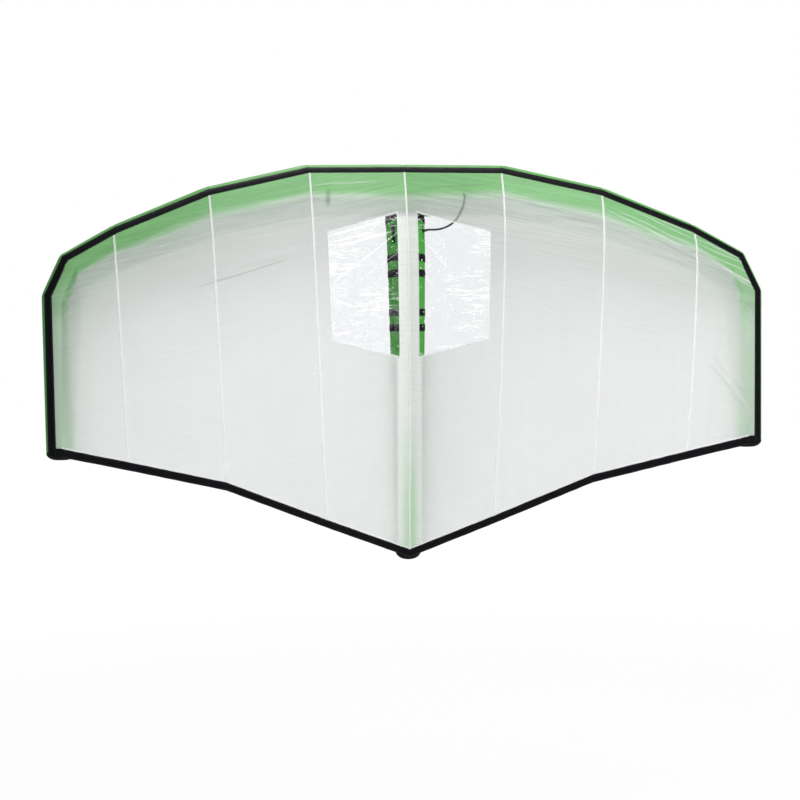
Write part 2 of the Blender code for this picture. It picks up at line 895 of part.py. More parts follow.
def hand_loop(name, start, end, outward, finish):
    """Webbing loop with a padded grip, whose ends lie on its swing axis."""
    run = (end - start).normalized()
    length = (end - start).length - 2 * handle_end_gap
    outward = (outward - run * outward.dot(run)).normalized()
    side = run.cross(outward)
    first = start + run * handle_end_gap
    spots = (0.0, 0.05, 0.12, 0.20, 0.27, 0.32, 0.5, 0.68, 0.73, 0.80, 0.88, 0.95, 1.0)

    def height(share):
        edge = min(share, 1 - share) / 0.3
        edge = min(edge, 1.0)
        return handle_rise * edge * edge * (3 - 2 * edge)

    rings = []
    for spot in spots:
        near = min(spot, 1 - spot)
        step = 0.01
        slope = (height(min(spot + step, 1)) - height(max(spot - step, 0))) / (2 * step * length)
        if near == 0:
            slope = 0
        tangent = (run + outward * slope).normalized()
        normal = side.cross(tangent).normalized()
        grip = min(max((near - 0.20) / 0.12, 0.0), 1.0)
        wide = mix(strap_width, grip_width, grip) / 2
        thick = mix(strap_thickness, grip_thickness, grip) / 2
        centre = first + run * length * spot + outward * height(spot)
        ring = []
        for k in range(12):
            turn = 2 * math.pi * k / 12
            ring.append(centre + side * wide * math.cos(turn) + normal * thick * math.sin(turn))
        rings.append(ring)
    return rings_solid(name, rings, finish, origin=(start + end) / 2)


# Front handle and leash loop


def front_axis_ends():
    lift = le_centre_radius + lay_gap + webbing_wall + handle_axis_height
    middle = le_centre + Y * lift
    half = X * (front_handle_span / 2)
    return middle - half, middle + half


def front_patch(finish):
    """Patch on the back of the leading edge, with two tabs that hold the front handle."""
    per_metre = 1 / le_tube.point(1, -math.pi / 2, lay_gap).x
    inner = front_handle_span / 2 * per_metre
    tab = inner + tab_length * per_metre
    edge = tab + front_patch_margin * per_metre
    stations = [-edge, -tab, -inner, 0.0, inner, tab, edge]
    angles = angle_list(-math.pi / 2, 3)
    grid = tube_grid(stations, angles, (lay_gap + webbing_wall, lay_gap))
    faces = grid_faces(grid)
    fall = front_handle_span / 2 * tip_lead / axis_half_span
    height = handle_axis_height + strap_width / 2 + fall
    raised = {}
    for index, face in enumerate(faces):
        if any(face[0] is grid[row][1] for row in (1, 4)):
            raised[index] = Y * height
    return skin("front_handle_patch", faces, finish, raised)


def leash_loop(finish):
    """Loop of flat webbing that stands on the tube and carries the wing."""
    foot, along, outward = loop_frame(le_tube)
    half = loop_opening / 2 + loop_webbing
    tall = loop_opening + 2 * loop_webbing
    flare = loop_webbing

    def outline(margin, lift, top):
        width = half - margin
        shape = [along * -width + outward * lift, along * width + outward * lift]
        centre = top - width
        for k in range(9):
            turn = math.pi * k / 8
            shape.append(along * width * math.cos(turn) + outward * (centre + width * math.sin(turn)))
        return [foot + point for point in shape]

    outer = outline(-flare, 0.0, tall)
    inner = outline(loop_webbing, loop_webbing, tall - loop_webbing)
    return prism("leash_loop", outer, inner, loop_width / 2, finish)


# Inflation valve


def valve_frame():
    """Foot, outward direction and hinge direction of the valve on the bladder."""
    angle = math.radians(valve_degrees)
    lift = -sleeve_wall - bladder_gap + lay_gap
    foot, outward = facet_frame(le_point, -valve_station_share, angle, lift, bladder_sides)
    run = mirrored(le_tube.direction(0), -1)
    return foot, outward, outward.cross(run).normalized()


def bar(name, base, axis, radius, low, high, finish, sides=round_sides):
    profile = [(0, low), (radius, low), (radius, high), (0, high)]
    return lathe(name, profile, base, axis, finish, sides=sides)


def spider(middle, outward, finish):
    """Two crossed spokes as one solid."""
    first, second = frame_of(outward)
    half = valve_spoke_width / 2
    reach = (valve_bore_radius + valve_body_radius) / 2
    outline = []
    for quarter in range(4):
        turn = math.pi / 2 * quarter
        along = first * math.cos(turn) + second * math.sin(turn)
        across = outward.cross(along)
        outline += [along * reach - across * half, along * reach + across * half, (along + across) * half]
    rings = [[middle + outward * side * half + point for point in outline] for side in (-1, 1)]
    return rings_solid("spokes", rings, finish)


def valve_base(foot, outward, finish):
    """Flange and threaded body with a spider that guides the poppet."""
    top = valve_flange_wall + valve_body_height
    profile = [
        (valve_bore_radius, 0.0),
        (valve_flange_radius, 0.0),
        (valve_flange_radius, valve_flange_wall),
        (valve_body_radius, valve_flange_wall),
        (valve_body_radius, top),
        (valve_bore_radius, top),
    ]
    body = lathe("valve_base", profile, foot, outward, finish)
    seat = top - valve_seat_depth
    half = valve_spoke_width / 2
    low, high = seat - 3 * half, seat + half * 1.5
    boolean(body, spider(foot + outward * (seat - half), outward, finish), "UNION")
    boolean(body, bar("guide", foot, outward, valve_guide_radius, low, high, finish), "UNION")
    hole_radius = valve_stem_radius + seam_gap
    hole = bar("hole", foot, outward, hole_radius, low - half, high + half, finish, sides=12)
    boolean(body, hole, "DIFFERENCE")
    return body


def valve_poppet(foot, outward, finish):
    """Disc and stem with a push button; it moves inward by its travel."""
    top = valve_flange_wall + valve_body_height
    seat = top - valve_seat_depth
    half = valve_spoke_width / 2
    under = seat - 3 * half - seam_gap
    disc = valve_bore_radius - 2 * seam_gap
    profile = [
        (0, under - poppet_wall),
        (disc, under - poppet_wall),
        (disc, under),
        (valve_stem_radius, under),
        (valve_stem_radius, top - poppet_wall),
        (0, top - poppet_wall),
    ]
    return lathe("valve_poppet", profile, foot, outward, finish, origin=foot, sides=16)


def valve_cap(foot, outward, hinge, finish):
    """Cap with a skirt over the valve body and a lug on its hinge line."""
    top = valve_flange_wall + valve_body_height
    inner = valve_body_radius + cap_gap
    outer = inner + cap_wall
    low = top - cap_skirt
    profile = [
        (0, top + cap_gap),
        (inner, top + cap_gap),
        (inner, low),
        (outer, low),
        (outer, top + cap_gap + cap_wall),
        (0, top + cap_gap + cap_wall),
    ]
    side = hinge.cross(outward)
    axis_point = foot + outward * low + side * (outer + cap_hinge_offset)
    cap = lathe("valve_cap", profile, foot, outward, finish, origin=axis_point)
    lug_half = valve_body_radius / 3
    rings = []
    for reach in (outer - cap_wall / 2, outer + cap_hinge_offset + cap_wall):
        middle = foot + outward * (low + cap_wall / 2) + side * reach
        ring = []
        for a, b in ((-1, -1), (1, -1), (1, 1), (-1, 1)):
            ring.append(middle + hinge * lug_half * a + outward * cap_wall / 2 * b)
        rings.append(ring)
    boolean(cap, rings_solid("lug", rings, finish, origin=axis_point), "UNION")
    return cap


# Hose and its fittings


def fitting(name, foot, outward, along, finish):
    """Flange, turret and barb of a hose fitting, with a stub into the bladder."""
    profile = [
        (0, -fitting_stub_depth),
        (fitting_stub_radius, -fitting_stub_depth),
        (fitting_stub_radius, 0.0),
        (fitting_flange_radius, 0.0),
        (fitting_flange_radius, fitting_flange_wall),
        (fitting_turret_radius, fitting_flange_wall),
        (fitting_turret_radius, fitting_turret_height),
        (0, fitting_turret_height),
    ]
    made = lathe(name, profile, foot, outward, finish, sides=16)
    height = fitting_turret_height - fitting_barb_radius
    middle = foot + outward * height
    barb = bar("barb", middle, along, fitting_barb_radius, 0.0, fitting_barb_length, finish, sides=12)
    boolean(made, barb, "UNION")
    return middle + along * fitting_barb_length


def le_fitting_frame():
    angle = math.radians(le_fitting_degrees)
    foot, outward = facet_frame(le_point, le_fitting_station_share, angle, seam_gap)
    along = outward.cross(le_tube.direction(le_fitting_station_share)).normalized()
    along = along if along.z < 0 else -along
    return foot, outward, along


def strut_fitting_frame():
    angle = math.radians(strut_fitting_degrees)
    station = strut.station_at_drop(strut_fitting_drop)
    return facet_frame(strut_point, station, angle, seam_gap)


def smooth_route(points, count):
    """Points read from a smooth curve through the route's own points."""
    padded = [points[0] * 2 - points[1]] + points + [points[-1] * 2 - points[-2]]
    spans = len(points) - 1
    result = []
    for n in range(count + 1):
        place = n / count * spans
        low = min(int(place), spans - 1)
        t = place - low
        a, b, c, d = padded[low:low + 4]
        curve = 2 * b + (c - a) * t
        curve += (2 * a - 5 * b + 4 * c - d) * t * t
        curve += (3 * b - a - 3 * c + d) * t * t * t
        result.append(curve / 2)
    return result


def hose(start, start_run, end, end_run, finish):
    """Hose from the leading edge fitting down and across to the strut fitting."""
    first = start + start_run * seam_gap
    last = end + end_run * seam_gap
    drop = first.z - last.z
    route = [first + start_run * 2 * hose_radius]
    for across, fall, stand in hose_route_shares:
        spot = Vector((mix(first.x, last.x, across), mix(first.y, last.y, across), first.z - drop * fall))
        route.append(spot - Y * drop * stand)
    route.append(last + end_run * 2 * hose_radius)
    curve = bpy.data.curves.new("hose", "CURVE")
    curve.dimensions = "3D"
    curve.bevel_depth = hose_radius
    curve.bevel_resolution = 2
    curve.use_fill_caps = True
    points = [first] + smooth_route(route, hose_steps) + [last]
    spline = curve.splines.new("POLY")
    spline.points.add(len(points) - 1)
    for target, point in zip(spline.points, points):
        target.co = (*point, 1.0)
    made = bpy.data.objects.new("hose", curve)
    curve.materials.append(finish)
    bpy.context.collection.objects.link(made)
    return made


# Zips


def zip_tape(name, tube_point, start, end, middle, finish):
    """Flat tape of a zip on one flat of a tube."""
    grid = []
    for station in (start, end):
        edges = []
        for side in (-1, 1):
            angle = middle + side * cell_angle / 2
            edges.append([tube_point(station, angle, lay_gap + lift) for lift in (zip_wall, 0.0)])
        line = []
        for share in ((1 - zip_width_share) / 2, (1 + zip_width_share) / 2):
            line.append([mix(a, b, share) for a, b in zip(*edges)])
        grid.append(line)
    return skin(name, grid_faces(grid), finish)


def zip_slider(name, top, run, outward, finish):
    """Slider body with its puller, on top of the zip."""
    side = run.cross(outward).normalized()
    rings = []
    spots = ((0.0, 0.7, 0.8), (0.5, 1.0, 1.0), (1.0, 0.8, 1.0), (1.05, 0.5, 0.5))
    body_end = slider_length * spots[-1][0]
    for place, wide, tall in spots:
        middle = top + run * slider_length * place
        ring = []
        for a, b in ((-1, 0), (1, 0), (1, 1), (-1, 1)):
            ring.append(middle + side * slider_width / 2 * wide * a + outward * slider_height * tall * b)
        rings.append(ring)
    made = rings_solid(name, rings, finish, origin=top)
    puller = []
    for place in (body_end - slider_height / 2, body_end + puller_length):
        middle = top + run * place + outward * slider_height / 4
        ring = []
        for a, b in ((-1, 0), (1, 0), (1, 1), (-1, 1)):
            ring.append(middle + side * slider_width / 4 * a + outward * slider_height / 4 * b)
        puller.append(ring)
    boolean(made, rings_solid("puller", puller, finish, origin=top), "UNION")
    return made


def make_materials():
    return {
        "tube": material("green_dacron", (0.10, 0.42, 0.12), 0.55),
        "canopy": material("canopy_ripstop", (0.82, 0.86, 0.84), 0.45),
        "film": material("clear_film", (0.9, 0.92, 0.93), 0.08, alpha=0.3),
        "black": material("black_webbing", (0.012, 0.012, 0.014), 0.6),
        "bladder": material("bladder_film", (0.75, 0.8, 0.76), 0.3),
        "grip": material("handle_cover", (0.015, 0.015, 0.016), 0.8),
        "hose": material("black_hose", (0.01, 0.01, 0.01), 0.4),
        "plastic": material("black_plastic", (0.02, 0.02, 0.022), 0.35),
    }


def punch(target, foot, outward, radius, depth):
    """Round hole through the wall of a tube at a fitting."""
    boolean(target, bar("punch", foot, outward, radius, -depth, depth, None), "DIFFERENCE")


def build():
    clear_scene()
    look = make_materials()
    segments = {}
    for side, word in ((-1, "left"), (1, "right")):
        for index in range(last_station):
            name = f"le_segment_{word}_{index + 1}"
            segments[side, index] = le_segment(index, side, name, look["tube"])
        seam_band(side, f"le_seam_band_{word}", look["black"])
        tip_cap(side, f"tip_cap_{word}", look["black"])
        for panel in range(4):
            canopy_panel(panel, side, f"canopy_panel_{word}_{panel + 1}", look["canopy"])
        window_film(side, f"window_{word}", look["film"])
        trailing_hem(side, f"trailing_hem_{word}", look["black"])
    bladder = le_bladder(look["bladder"])
    sleeve = strut_sleeve(look["tube"])
    inner = strut_bladder(look["bladder"])
    strut_end_cap(look["black"])

    for index in range(handle_count):
        handle_harness(index, look["black"])
        start, end = handle_axis(index)
        outward = -strut.rings[strut.split(strut.station_at_drop(first_band_drop))[0]][1]
        hand_loop(f"handle_{index + 1}", start, end, outward, look["grip"])
    front_patch(look["black"])
    start, end = front_axis_ends()
    droop = math.radians(front_handle_droop_degrees)
    hand_loop("front_handle", start, end, Y * math.cos(droop) - Z * math.sin(droop), look["grip"])
    leash_loop(look["black"])

    foot, outward, hinge = valve_frame()
    punch(segments[-1, 0], foot, outward, valve_hole_radius, valve_flange_radius)
    punch(bladder, foot, outward, valve_bore_radius, valve_flange_radius)
    valve_base(foot, outward, look["plastic"])
    valve_poppet(foot, outward, look["plastic"])
    valve_cap(foot, outward, hinge, look["plastic"])

    foot, outward, along = le_fitting_frame()
    hole = fitting_stub_radius + seam_gap * 2
    punch(segments[1, 0], foot, outward, hole, fitting_stub_depth + bladder_gap)
    punch(bladder, foot, outward, hole, fitting_stub_depth + bladder_gap)
    first = fitting("hose_fitting_le", foot, outward, along, look["plastic"])
    foot, outward = strut_fitting_frame()
    punch(sleeve, foot, outward, hole, fitting_stub_depth + bladder_gap)
    punch(inner, foot, outward, hole, fitting_stub_depth + bladder_gap)
    last = fitting("hose_fitting_strut", foot, outward, outward, look["plastic"])
    hose(first, along, last, outward, look["hose"])

    top = strut.station_at_drop(strut_zip_drop)
    bottom = strut.station_at_drop(strut_zip_drop + strut_zip_length)
    middle = math.radians(strut_zip_degrees)
    zip_tape("strut_zip", strut_point, top, bottom, middle, look["black"])
    lift = lay_gap + zip_wall + seam_gap
    spot, outward = facet_frame(strut_point, top, middle, lift)
    run = (facet_frame(strut_point, bottom, middle, lift)[0] - spot).normalized()
    zip_slider("strut_zip_slider", spot, run, outward, look["plastic"])

    half = le_zip_length / 2 / le_tube.length(1)
    middle = math.radians(le_zip_degrees)
    start, end = le_zip_station_share - half, le_zip_station_share + half
    zip_tape("le_zip", le_point, start, end, middle, look["black"])
    spot, outward = facet_frame(le_point, start, middle, lift)
    run = (facet_frame(le_point, end, middle, lift)[0] - spot).normalized()
    zip_slider("le_zip_slider", spot, run, outward, look["plastic"])


build()
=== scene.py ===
import math
from contextlib import contextmanager
from functools import partialmethod

import bmesh
import bpy
import numpy as np
from mathutils import Matrix, Vector


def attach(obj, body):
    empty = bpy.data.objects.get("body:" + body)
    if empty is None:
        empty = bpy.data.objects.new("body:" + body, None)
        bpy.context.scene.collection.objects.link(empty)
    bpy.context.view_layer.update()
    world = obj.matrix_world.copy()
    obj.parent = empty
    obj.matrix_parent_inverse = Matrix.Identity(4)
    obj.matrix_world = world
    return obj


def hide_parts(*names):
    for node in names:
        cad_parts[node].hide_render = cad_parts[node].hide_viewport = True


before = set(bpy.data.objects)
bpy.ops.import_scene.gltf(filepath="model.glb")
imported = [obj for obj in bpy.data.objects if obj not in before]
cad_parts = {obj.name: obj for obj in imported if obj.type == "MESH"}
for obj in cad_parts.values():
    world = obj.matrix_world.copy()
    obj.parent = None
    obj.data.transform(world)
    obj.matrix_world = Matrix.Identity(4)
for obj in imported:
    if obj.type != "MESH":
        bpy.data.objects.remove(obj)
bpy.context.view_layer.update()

# Plan of the wing, as in the frame; all lengths in metres
AXIS_HALF_SPAN = 1.522
CENTRE_CHORD = 1.667
TIP_LEAD = 0.33
LE_STATIONS = (
    # each ring: shares of the half span, of the chord and of the taper
    (0.0, 0.0, 0.0),
    (0.295, 0.010, 0.08),
    (0.572, 0.073, 0.22),
    (0.825, 0.172, 0.40),
    (0.952, 0.238, 0.55),
    (0.993, 0.315, 0.67),
    (1.0, 0.714, 1.0),
)
LAST = len(LE_STATIONS) - 1
LE_CENTRE_RADIUS = 0.120
LE_TIP_RADIUS = 0.060
TE_SEAMS = ((0.0, 1.0), (0.263, 0.908), (0.553, 0.797), (0.822, 0.736))
TE_TIP_STATION = 5.958
TE_STAND = 0.095
HEM_WIDTH = 0.034
CANOPY_CAMBER = 0.120
CAMBER_PEAK = 0.24
SEAM_CAMBERS = (1.0, 1.05, 0.90, 0.62)
SEAM_SHIFT = (0.0, 0.0, 0.010, 0.030)
SEAM_LEAN = (0.0, 0.0, 0.10, 0.15)
LEAVE = np.radians((60.0, 60.0, 60.0, 68.0, 88.0, 90.0, 90.0))
BAND_STARTS = np.radians((36.0, 36.0, 35.0, 33.0, 31.0, 30.0, 30.0))
BAND_WIDTH = 0.042
SEAM_GAP = 0.0003
LAY_GAP = 0.0006
WINDOW_SIDES = (0.105, 0.85)
WINDOW_ROWS = (0.11, 0.493)
WINDOW_TOP = (0.110, 0.176)
WINDOW_BOTTOM = (0.493, 0.476)
STRUT_ROWS = (0.11, 0.19, 0.29, 0.39, 0.493, 0.60, 0.70, 0.80, 0.90, 1.0)
STRUT_FRONT_RADIUS = 0.0925
STRUT_END_RADIUS = 0.0625
STRUT_GAP = 0.0016
STRUT_OVERHANG = 0.015
STRUT_CAP_DEPTH = 0.045
STRUT_CAP_FLAT = 0.046
HANDLES = 5
FIRST_BAND_DROP = 0.163
HANDLE_SPAN = 0.174
HANDLE_STEP = 0.2427
STRUT_BAND_WIDTH = 0.031
HARNESS_WALL = 0.0008
TAB_LENGTH = 0.010
HANDLE_AXIS_HEIGHT = 0.012
HANDLE_RISE = 0.056
HANDLE_END_GAP = 0.0008
HANDLE_STRAP = (0.0176, 0.0046)
GRIP_FROM, GRIP_TO = 0.235, 0.765
GRIP_WIDE = (0.0110, 0.0170)
GRIP_THICK = (0.0045, 0.0130)
TAB_WEBBING = 0.0022
FRONT_HANDLE_SPAN = 0.180
FRONT_PATCH_MARGIN = 0.030
FRONT_HANDLE_DROOP = math.radians(35.0)
LOOP_WIDTH = 0.025
LOOP_WEBBING = 0.0025
LOOP_OPENING = 0.018
LOOP_ANGLE = math.radians(-45.0)
BLADDER_DEPTH = 0.0034
CAD_SIDES = 24
CELL = 2 * math.pi / CAD_SIDES
VALVE_FOOT = np.array((-0.3987, -0.0753, -0.1357))
VALVE_OUT = (-0.2103, 0.9578, -0.1960)
VALVE_HOLE = 0.024
HOSE_RADIUS = 0.0045
HOSE_ROUTE = np.array((
    (0.2635, -0.2836, -0.1290), (0.2632, -0.2835, -0.1380), (0.2694, -0.2899, -0.1424),
    (0.2709, -0.2947, -0.1530), (0.2668, -0.2976, -0.1714), (0.2623, -0.3005, -0.1910),
    (0.2562, -0.3024, -0.2090), (0.2482, -0.3029, -0.2232), (0.2392, -0.3027, -0.2411),
    (0.2284, -0.3017, -0.2587), (0.2147, -0.2997, -0.2725), (0.2033, -0.2975, -0.2830),
    (0.1890, -0.2947, -0.2918), (0.1613, -0.2903, -0.3033), (0.1329, -0.2845, -0.3076),
    (0.1051, -0.2777, -0.3059), (0.0973, -0.2733, -0.3067),
))

# How the cloth shows what lies behind it (the reach of the tubes' painted glow and of the hose's painted shadow),
# and how finely it is divided
CLOTH_GAP = 0.0010
BAND_LAP = 0.010
GLOW_REACHES = ((0.0, 1.05, 1.40), (0.060, 0.054, 0.022))
STRUT_GLOW_REACH = 0.016
HOSE_SHOWS = 0.060
HOSE_SLIP = 0.009
VIEW_DISTANCE = 5.7
VIEW_HEIGHT = -1.04
STRIP_ROWS = 10
TUBE_SIDES = 96
RING_STEP = 0.007
TAPE_WIDTH = 0.0090
TAPE_START = 0.0105
TAPE_LIFT = 0.0016
TAPE_CROWN = 0.0004
PANEL_SHARE = 0.28
EVEN_ROWS = np.linspace(0, 1, 151)

X_AXIS, Y_AXIS, Z_AXIS = np.eye(3)
PLAN_LENGTH = math.hypot(AXIS_HALF_SPAN, TIP_LEAD)
CANOPY_UP = np.array((-TIP_LEAD, -AXIS_HALF_SPAN, 0.0)) / PLAN_LENGTH


def norm(v):
    return np.linalg.norm(v, axis=-1)


def col(a):
    """An array with one more axis, to scale vectors with."""
    return np.asarray(a, float)[..., None]


def unit(v):
    return v / col(norm(v))


def turned(v, way):
    """The vectors, each turned round if it points away from a given way."""
    return v * np.where(np.sum(v * way, axis=-1, keepdims=True) < 0, -1, 1)


def facing(a, b, way):
    """Direction square to two others, on the side of a given way."""
    return turned(unit(np.cross(a, b)), way)


def mirror(points, side):
    return points * np.array((side, 1.0, 1.0))


def between(a, b, share):
    return a + (b - a) * share


def clamp(a):
    return np.clip(a, 0, 1)


def smooth_step(t):
    t = clamp(t)
    return t * t * (3 - 2 * t)


def pair(a, b):
    return np.stack(np.broadcast_arrays(a, b), -1)


def arc(points, axis):
    """Distance along a grid's rows or columns, in metres."""
    steps = norm(np.diff(points, axis=axis))
    pad = np.zeros_like(np.take(steps, [0], axis=axis))
    return np.cumsum(np.concatenate([pad, steps], axis=axis), axis=axis)


def at_station(station, values):
    return np.interp(station, range(len(values)), values)


class Tube:
    """Rings along a path, straight between two rings."""

    def __init__(self, rings):
        self.centre, self.across, self.up, self.radii = (np.array(part) for part in zip(*rings))
        self.along = np.concatenate([[0.0], np.cumsum(norm(np.diff(self.centre, axis=0)))])

    def point(self, station, angle, lift=0.0):
        station, angle = np.broadcast_arrays(np.asarray(station, float), np.asarray(angle, float))
        low = np.clip(np.floor(station).astype(int), 0, len(self.radii) - 2)
        share = col(station - low)

        def ring(i):
            spoke = self.across[i] * col(np.cos(angle)) + self.up[i] * col(np.sin(angle))
            return self.centre[i] + spoke * col(self.radii[i] + lift)

        return ring(low) * (1 - share) + ring(low + 1) * share

    def axis_point(self, station):
        low = min(int(station), len(self.radii) - 2)
        return between(self.centre[low], self.centre[low + 1], station - low)

    def radius(self, station):
        return at_station(station, self.radii)

    def metres(self, station):
        return at_station(station, self.along)

    def direction(self, low):
        return unit(self.centre[low + 1] - self.centre[low])


def plan_spot(x, z):
    """Way from the wing's middle to a share of its half span and of its chord."""
    return np.array((x * AXIS_HALF_SPAN, -x * TIP_LEAD, -z * CENTRE_CHORD))


def leading_edge(middle):
    """The leading edge's tube, right half, with mitred rings."""
    centres = [middle + plan_spot(x, z) for x, z, _ in LE_STATIONS]
    runs = [unit(b - a) for a, b in zip(centres, centres[1:])]
    rings = []
    for i, centre in enumerate(centres):
        run = runs[min(i, LAST - 1)]
        plane = X_AXIS if i == 0 else unit(run + runs[i - 1])
        spokes = [way - run * plane.dot(way) / plane.dot(run) for way in (unit(np.cross(CANOPY_UP, run)), CANOPY_UP)]
        rings.append((centre, *spokes, between(LE_CENTRE_RADIUS, LE_TIP_RADIUS, LE_STATIONS[i][2])))
    return Tube(rings)


def loop_frame(tube):
    """Foot of the leash loop on the tube, with its two directions."""
    low, high = (tube.point(0.0, LOOP_ANGLE + s * CELL / 2, LAY_GAP) for s in (-1, 1))
    along, foot = unit(high - low), (low + high) / 2
    return foot, along, facing(X_AXIS, along, foot - tube.centre[0])


loop_foot, _, loop_out = loop_frame(leading_edge(np.zeros(3)))
CENTRE = -(loop_foot + loop_out * (LOOP_WEBBING + LOOP_OPENING))
LE = leading_edge(CENTRE)


def leave_angle(station):
    return at_station(station, LEAVE)


def band_start(station):
    return at_station(station, BAND_STARTS)


def under_band(station):
    """Angle on the tube at which the cloth ends, a little under the seam band."""
    return band_start(station) + (BAND_WIDTH - BAND_LAP) / LE.radius(station)


# The canopy's surface, right half


def mean_line(v):
    p = CAMBER_PEAK
    front = (2 * p * v - v * v) / (p * p)
    back = (1 - 2 * p + 2 * p * v - v * v) / ((1 - p) * (1 - p))
    return np.where(v < p, front, back)


def te_foot(seam):
    x, z = TE_SEAMS[seam]
    stand = between(TE_STAND, LE_TIP_RADIUS + LAY_GAP, x)
    return CENTRE + plan_spot(x, z) + (CANOPY_UP if seam else -Y_AXIS) * stand


def seam_station(seam):
    """Station on the tube where a seam starts, a little outboard of the tube's own joint."""
    return seam + SEAM_SHIFT[seam] / (LE.along[seam + 1] - LE.along[seam])


def seam_point(seam, v):
    station = seam_station(seam)
    top = LE.point(station, leave_angle(station), LAY_GAP)
    depth = CANOPY_CAMBER * SEAM_CAMBERS[seam] * mean_line(v)
    return between(top, te_foot(seam), col(v)) - (Y_AXIS + X_AXIS * SEAM_LEAN[seam]) * col(depth)


def panel_station(panel, u):
    return between(seam_station(panel), seam_station(panel + 1) if panel < 3 else 5.0, u)


def canopy_point(panel, u, v):
    u, v = np.broadcast_arrays(np.asarray(u, float), np.asarray(v, float))
    if panel < 3:
        return between(seam_point(panel, v), seam_point(panel + 1, v), col(u))
    station = panel_station(3, u)
    top = LE.point(station, leave_angle(station), LAY_GAP)
    corner = LE.point(TE_TIP_STATION, math.pi / 2, LAY_GAP)
    foot = between(te_foot(3), corner, col(u))
    straight = between(seam_point(3, 0.0), te_foot(3), col(v))
    return between(top, foot, col(v)) + (seam_point(3, v) - straight) * col(1 - u)


def chord_share(panel, u, t):
    """Chord share of a row; the inner panel's rows bend round the window."""
    if panel > 0:
        return np.broadcast_arrays(t, u)[0]
    (low, high), (a, b) = WINDOW_SIDES, WINDOW_ROWS
    aside = clamp((u - low) / (high - low))
    top, bottom = between(*WINDOW_TOP, aside), between(*WINDOW_BOTTOM, aside)
    middle = between(top, bottom, (t - a) / (b - a))
    last = between(bottom, 1, (t - b) / (1 - b))
    return np.where(t <= a, t / a * top, np.where(t <= b, middle, last))


def normals_of(points):
    """Normals of a grid of points, towards the camera's side of the wing."""
    across, down = np.gradient(points, axis=1), np.gradient(points, axis=0)
    return facing(across, down, CANOPY_UP)


def strut_path():
    """The strut's tube, which follows the middle seam."""
    rings = []
    for share in STRUT_ROWS:
        v = float(chord_share(0, 0.0, share))
        radius = between(STRUT_FRONT_RADIUS, STRUT_END_RADIUS, v)
        down = seam_point(0, min(v + 0.01, 1)) - seam_point(0, max(v - 0.01, 0))
        normal = facing(X_AXIS, down, -Y_AXIS)
        rings.append((seam_point(0, v) - normal * (radius + STRUT_GAP), normal, X_AXIS, radius))
    front = facing(rings[0][0] - CENTRE, X_AXIS, -Y_AXIS)
    along = unit(seam_point(0, 1.0) - seam_point(0, 0.95))
    end = (rings[-1][0] + along * STRUT_OVERHANG, *rings[-1][1:])
    return Tube([(CENTRE, front, X_AXIS, STRUT_FRONT_RADIUS), *rings, end])


STRUT = strut_path()
STRUT_END = len(STRUT.radii) - 1


def off_segment(points, start, end):
    """Way from a segment to each point, and the share of the segment at its foot."""
    run = end - start
    share = clamp((points - start) @ run / run.dot(run))
    return points - start - run * col(share), share


def tube_gap(points, tube):
    """Distance from each point to a tube's surface, and the way out of the tube."""
    best, way = np.full(points.shape[:-1], np.inf), np.zeros(points.shape)
    for low in range(len(tube.radii) - 1):
        off, share = off_segment(points, *tube.centre[low:low + 2])
        gap = norm(off) - between(*tube.radii[low:low + 2], share)
        way = np.where(col(gap < best), off / col(np.maximum(norm(off), 1e-6)), way)
        best = np.minimum(gap, best)
    return best, way


def clear_of_tubes(points, gap):
    """Pushes cloth out of the leading edge and the strut."""
    for tube in (LE, STRUT):
        near, way = tube_gap(points, tube)
        points = points + way * col(np.maximum(gap - near, 0))
    return points


def painted_glow_weight(points, share):
    """Painted glow: share of the lit tube's green painted into the cloth's colour, full where the cloth lies on the
    tube and only over the tube's front and top, where the light falls; a fainter painted glow lies beside the strut.
    """
    near, way = tube_gap(points, LE)
    # painted glow only where the tube's surface faces the front and top, where the light falls on it
    lit = clamp((-way[..., 1] + way[..., 2] * 0.5 + 0.25) * 2.0)
    tip = clamp((-points[..., 2] - 0.50) / 0.30) * clamp((points[..., 0] - 1.28) / 0.10)
    reach = np.interp(points[..., 0], *GLOW_REACHES)
    edge = smooth_step((1.25 - near / reach) / 0.8) * lit * (1 - 0.66 * tip)
    beside = np.maximum(tube_gap(points, STRUT)[0], 0) / STRUT_GLOW_REACH
    return np.maximum(edge, np.exp(-beside ** 2) * (0.10 + 0.55 * clamp((share - 0.62) / 0.25)))


def hose_weight(points, side):
    """1 on the cloth close to the hose, 0 far from it and on the other side."""
    if side < 0:
        return 0.0
    off = [norm(off_segment(points, a, b)[0]) for a, b in zip(HOSE_ROUTE, HOSE_ROUTE[1:])]
    return np.exp(-((np.min(off, axis=0) / HOSE_SHOWS) ** 2))


def cloth_weights(points, share, side):
    """The cloth's attributes: fine creases, the tube's painted glow, the doubled middle and the nearness of the
    hose, which masks its painted shadow.
    """
    over_strut = clamp((0.062 - np.abs(points[..., 0])) / 0.012)
    return {
        "crinkle": np.exp(-((share - 0.06) / 0.10) ** 2) + 0.10,
        "glow": painted_glow_weight(points, share),
        "doubled": over_strut * clamp((share - 0.10) / 0.03),
        "near_hose": hose_weight(points, side),
    }


# Wrinkles


def value_noise(x, y, seed):
    """Smooth noise from -1 to 1 over two coordinates."""
    p = pair(x, y)
    cell = np.floor(p).astype(np.int64)
    fx, fy = np.moveaxis(smooth_step(p - cell), -1, 0)

    def corner(i, j):
        n = (cell[..., 0] + i) * 374761393 + (cell[..., 1] + j) * 668265263 + seed * 1442695041
        n = (n ^ (n >> 13)) * 1274126177
        return ((n ^ (n >> 16)) & 0xFFFF) / 32767.5 - 1

    return between(between(corner(0, 0), corner(1, 0), fx), between(corner(0, 1), corner(1, 1), fx), fy)


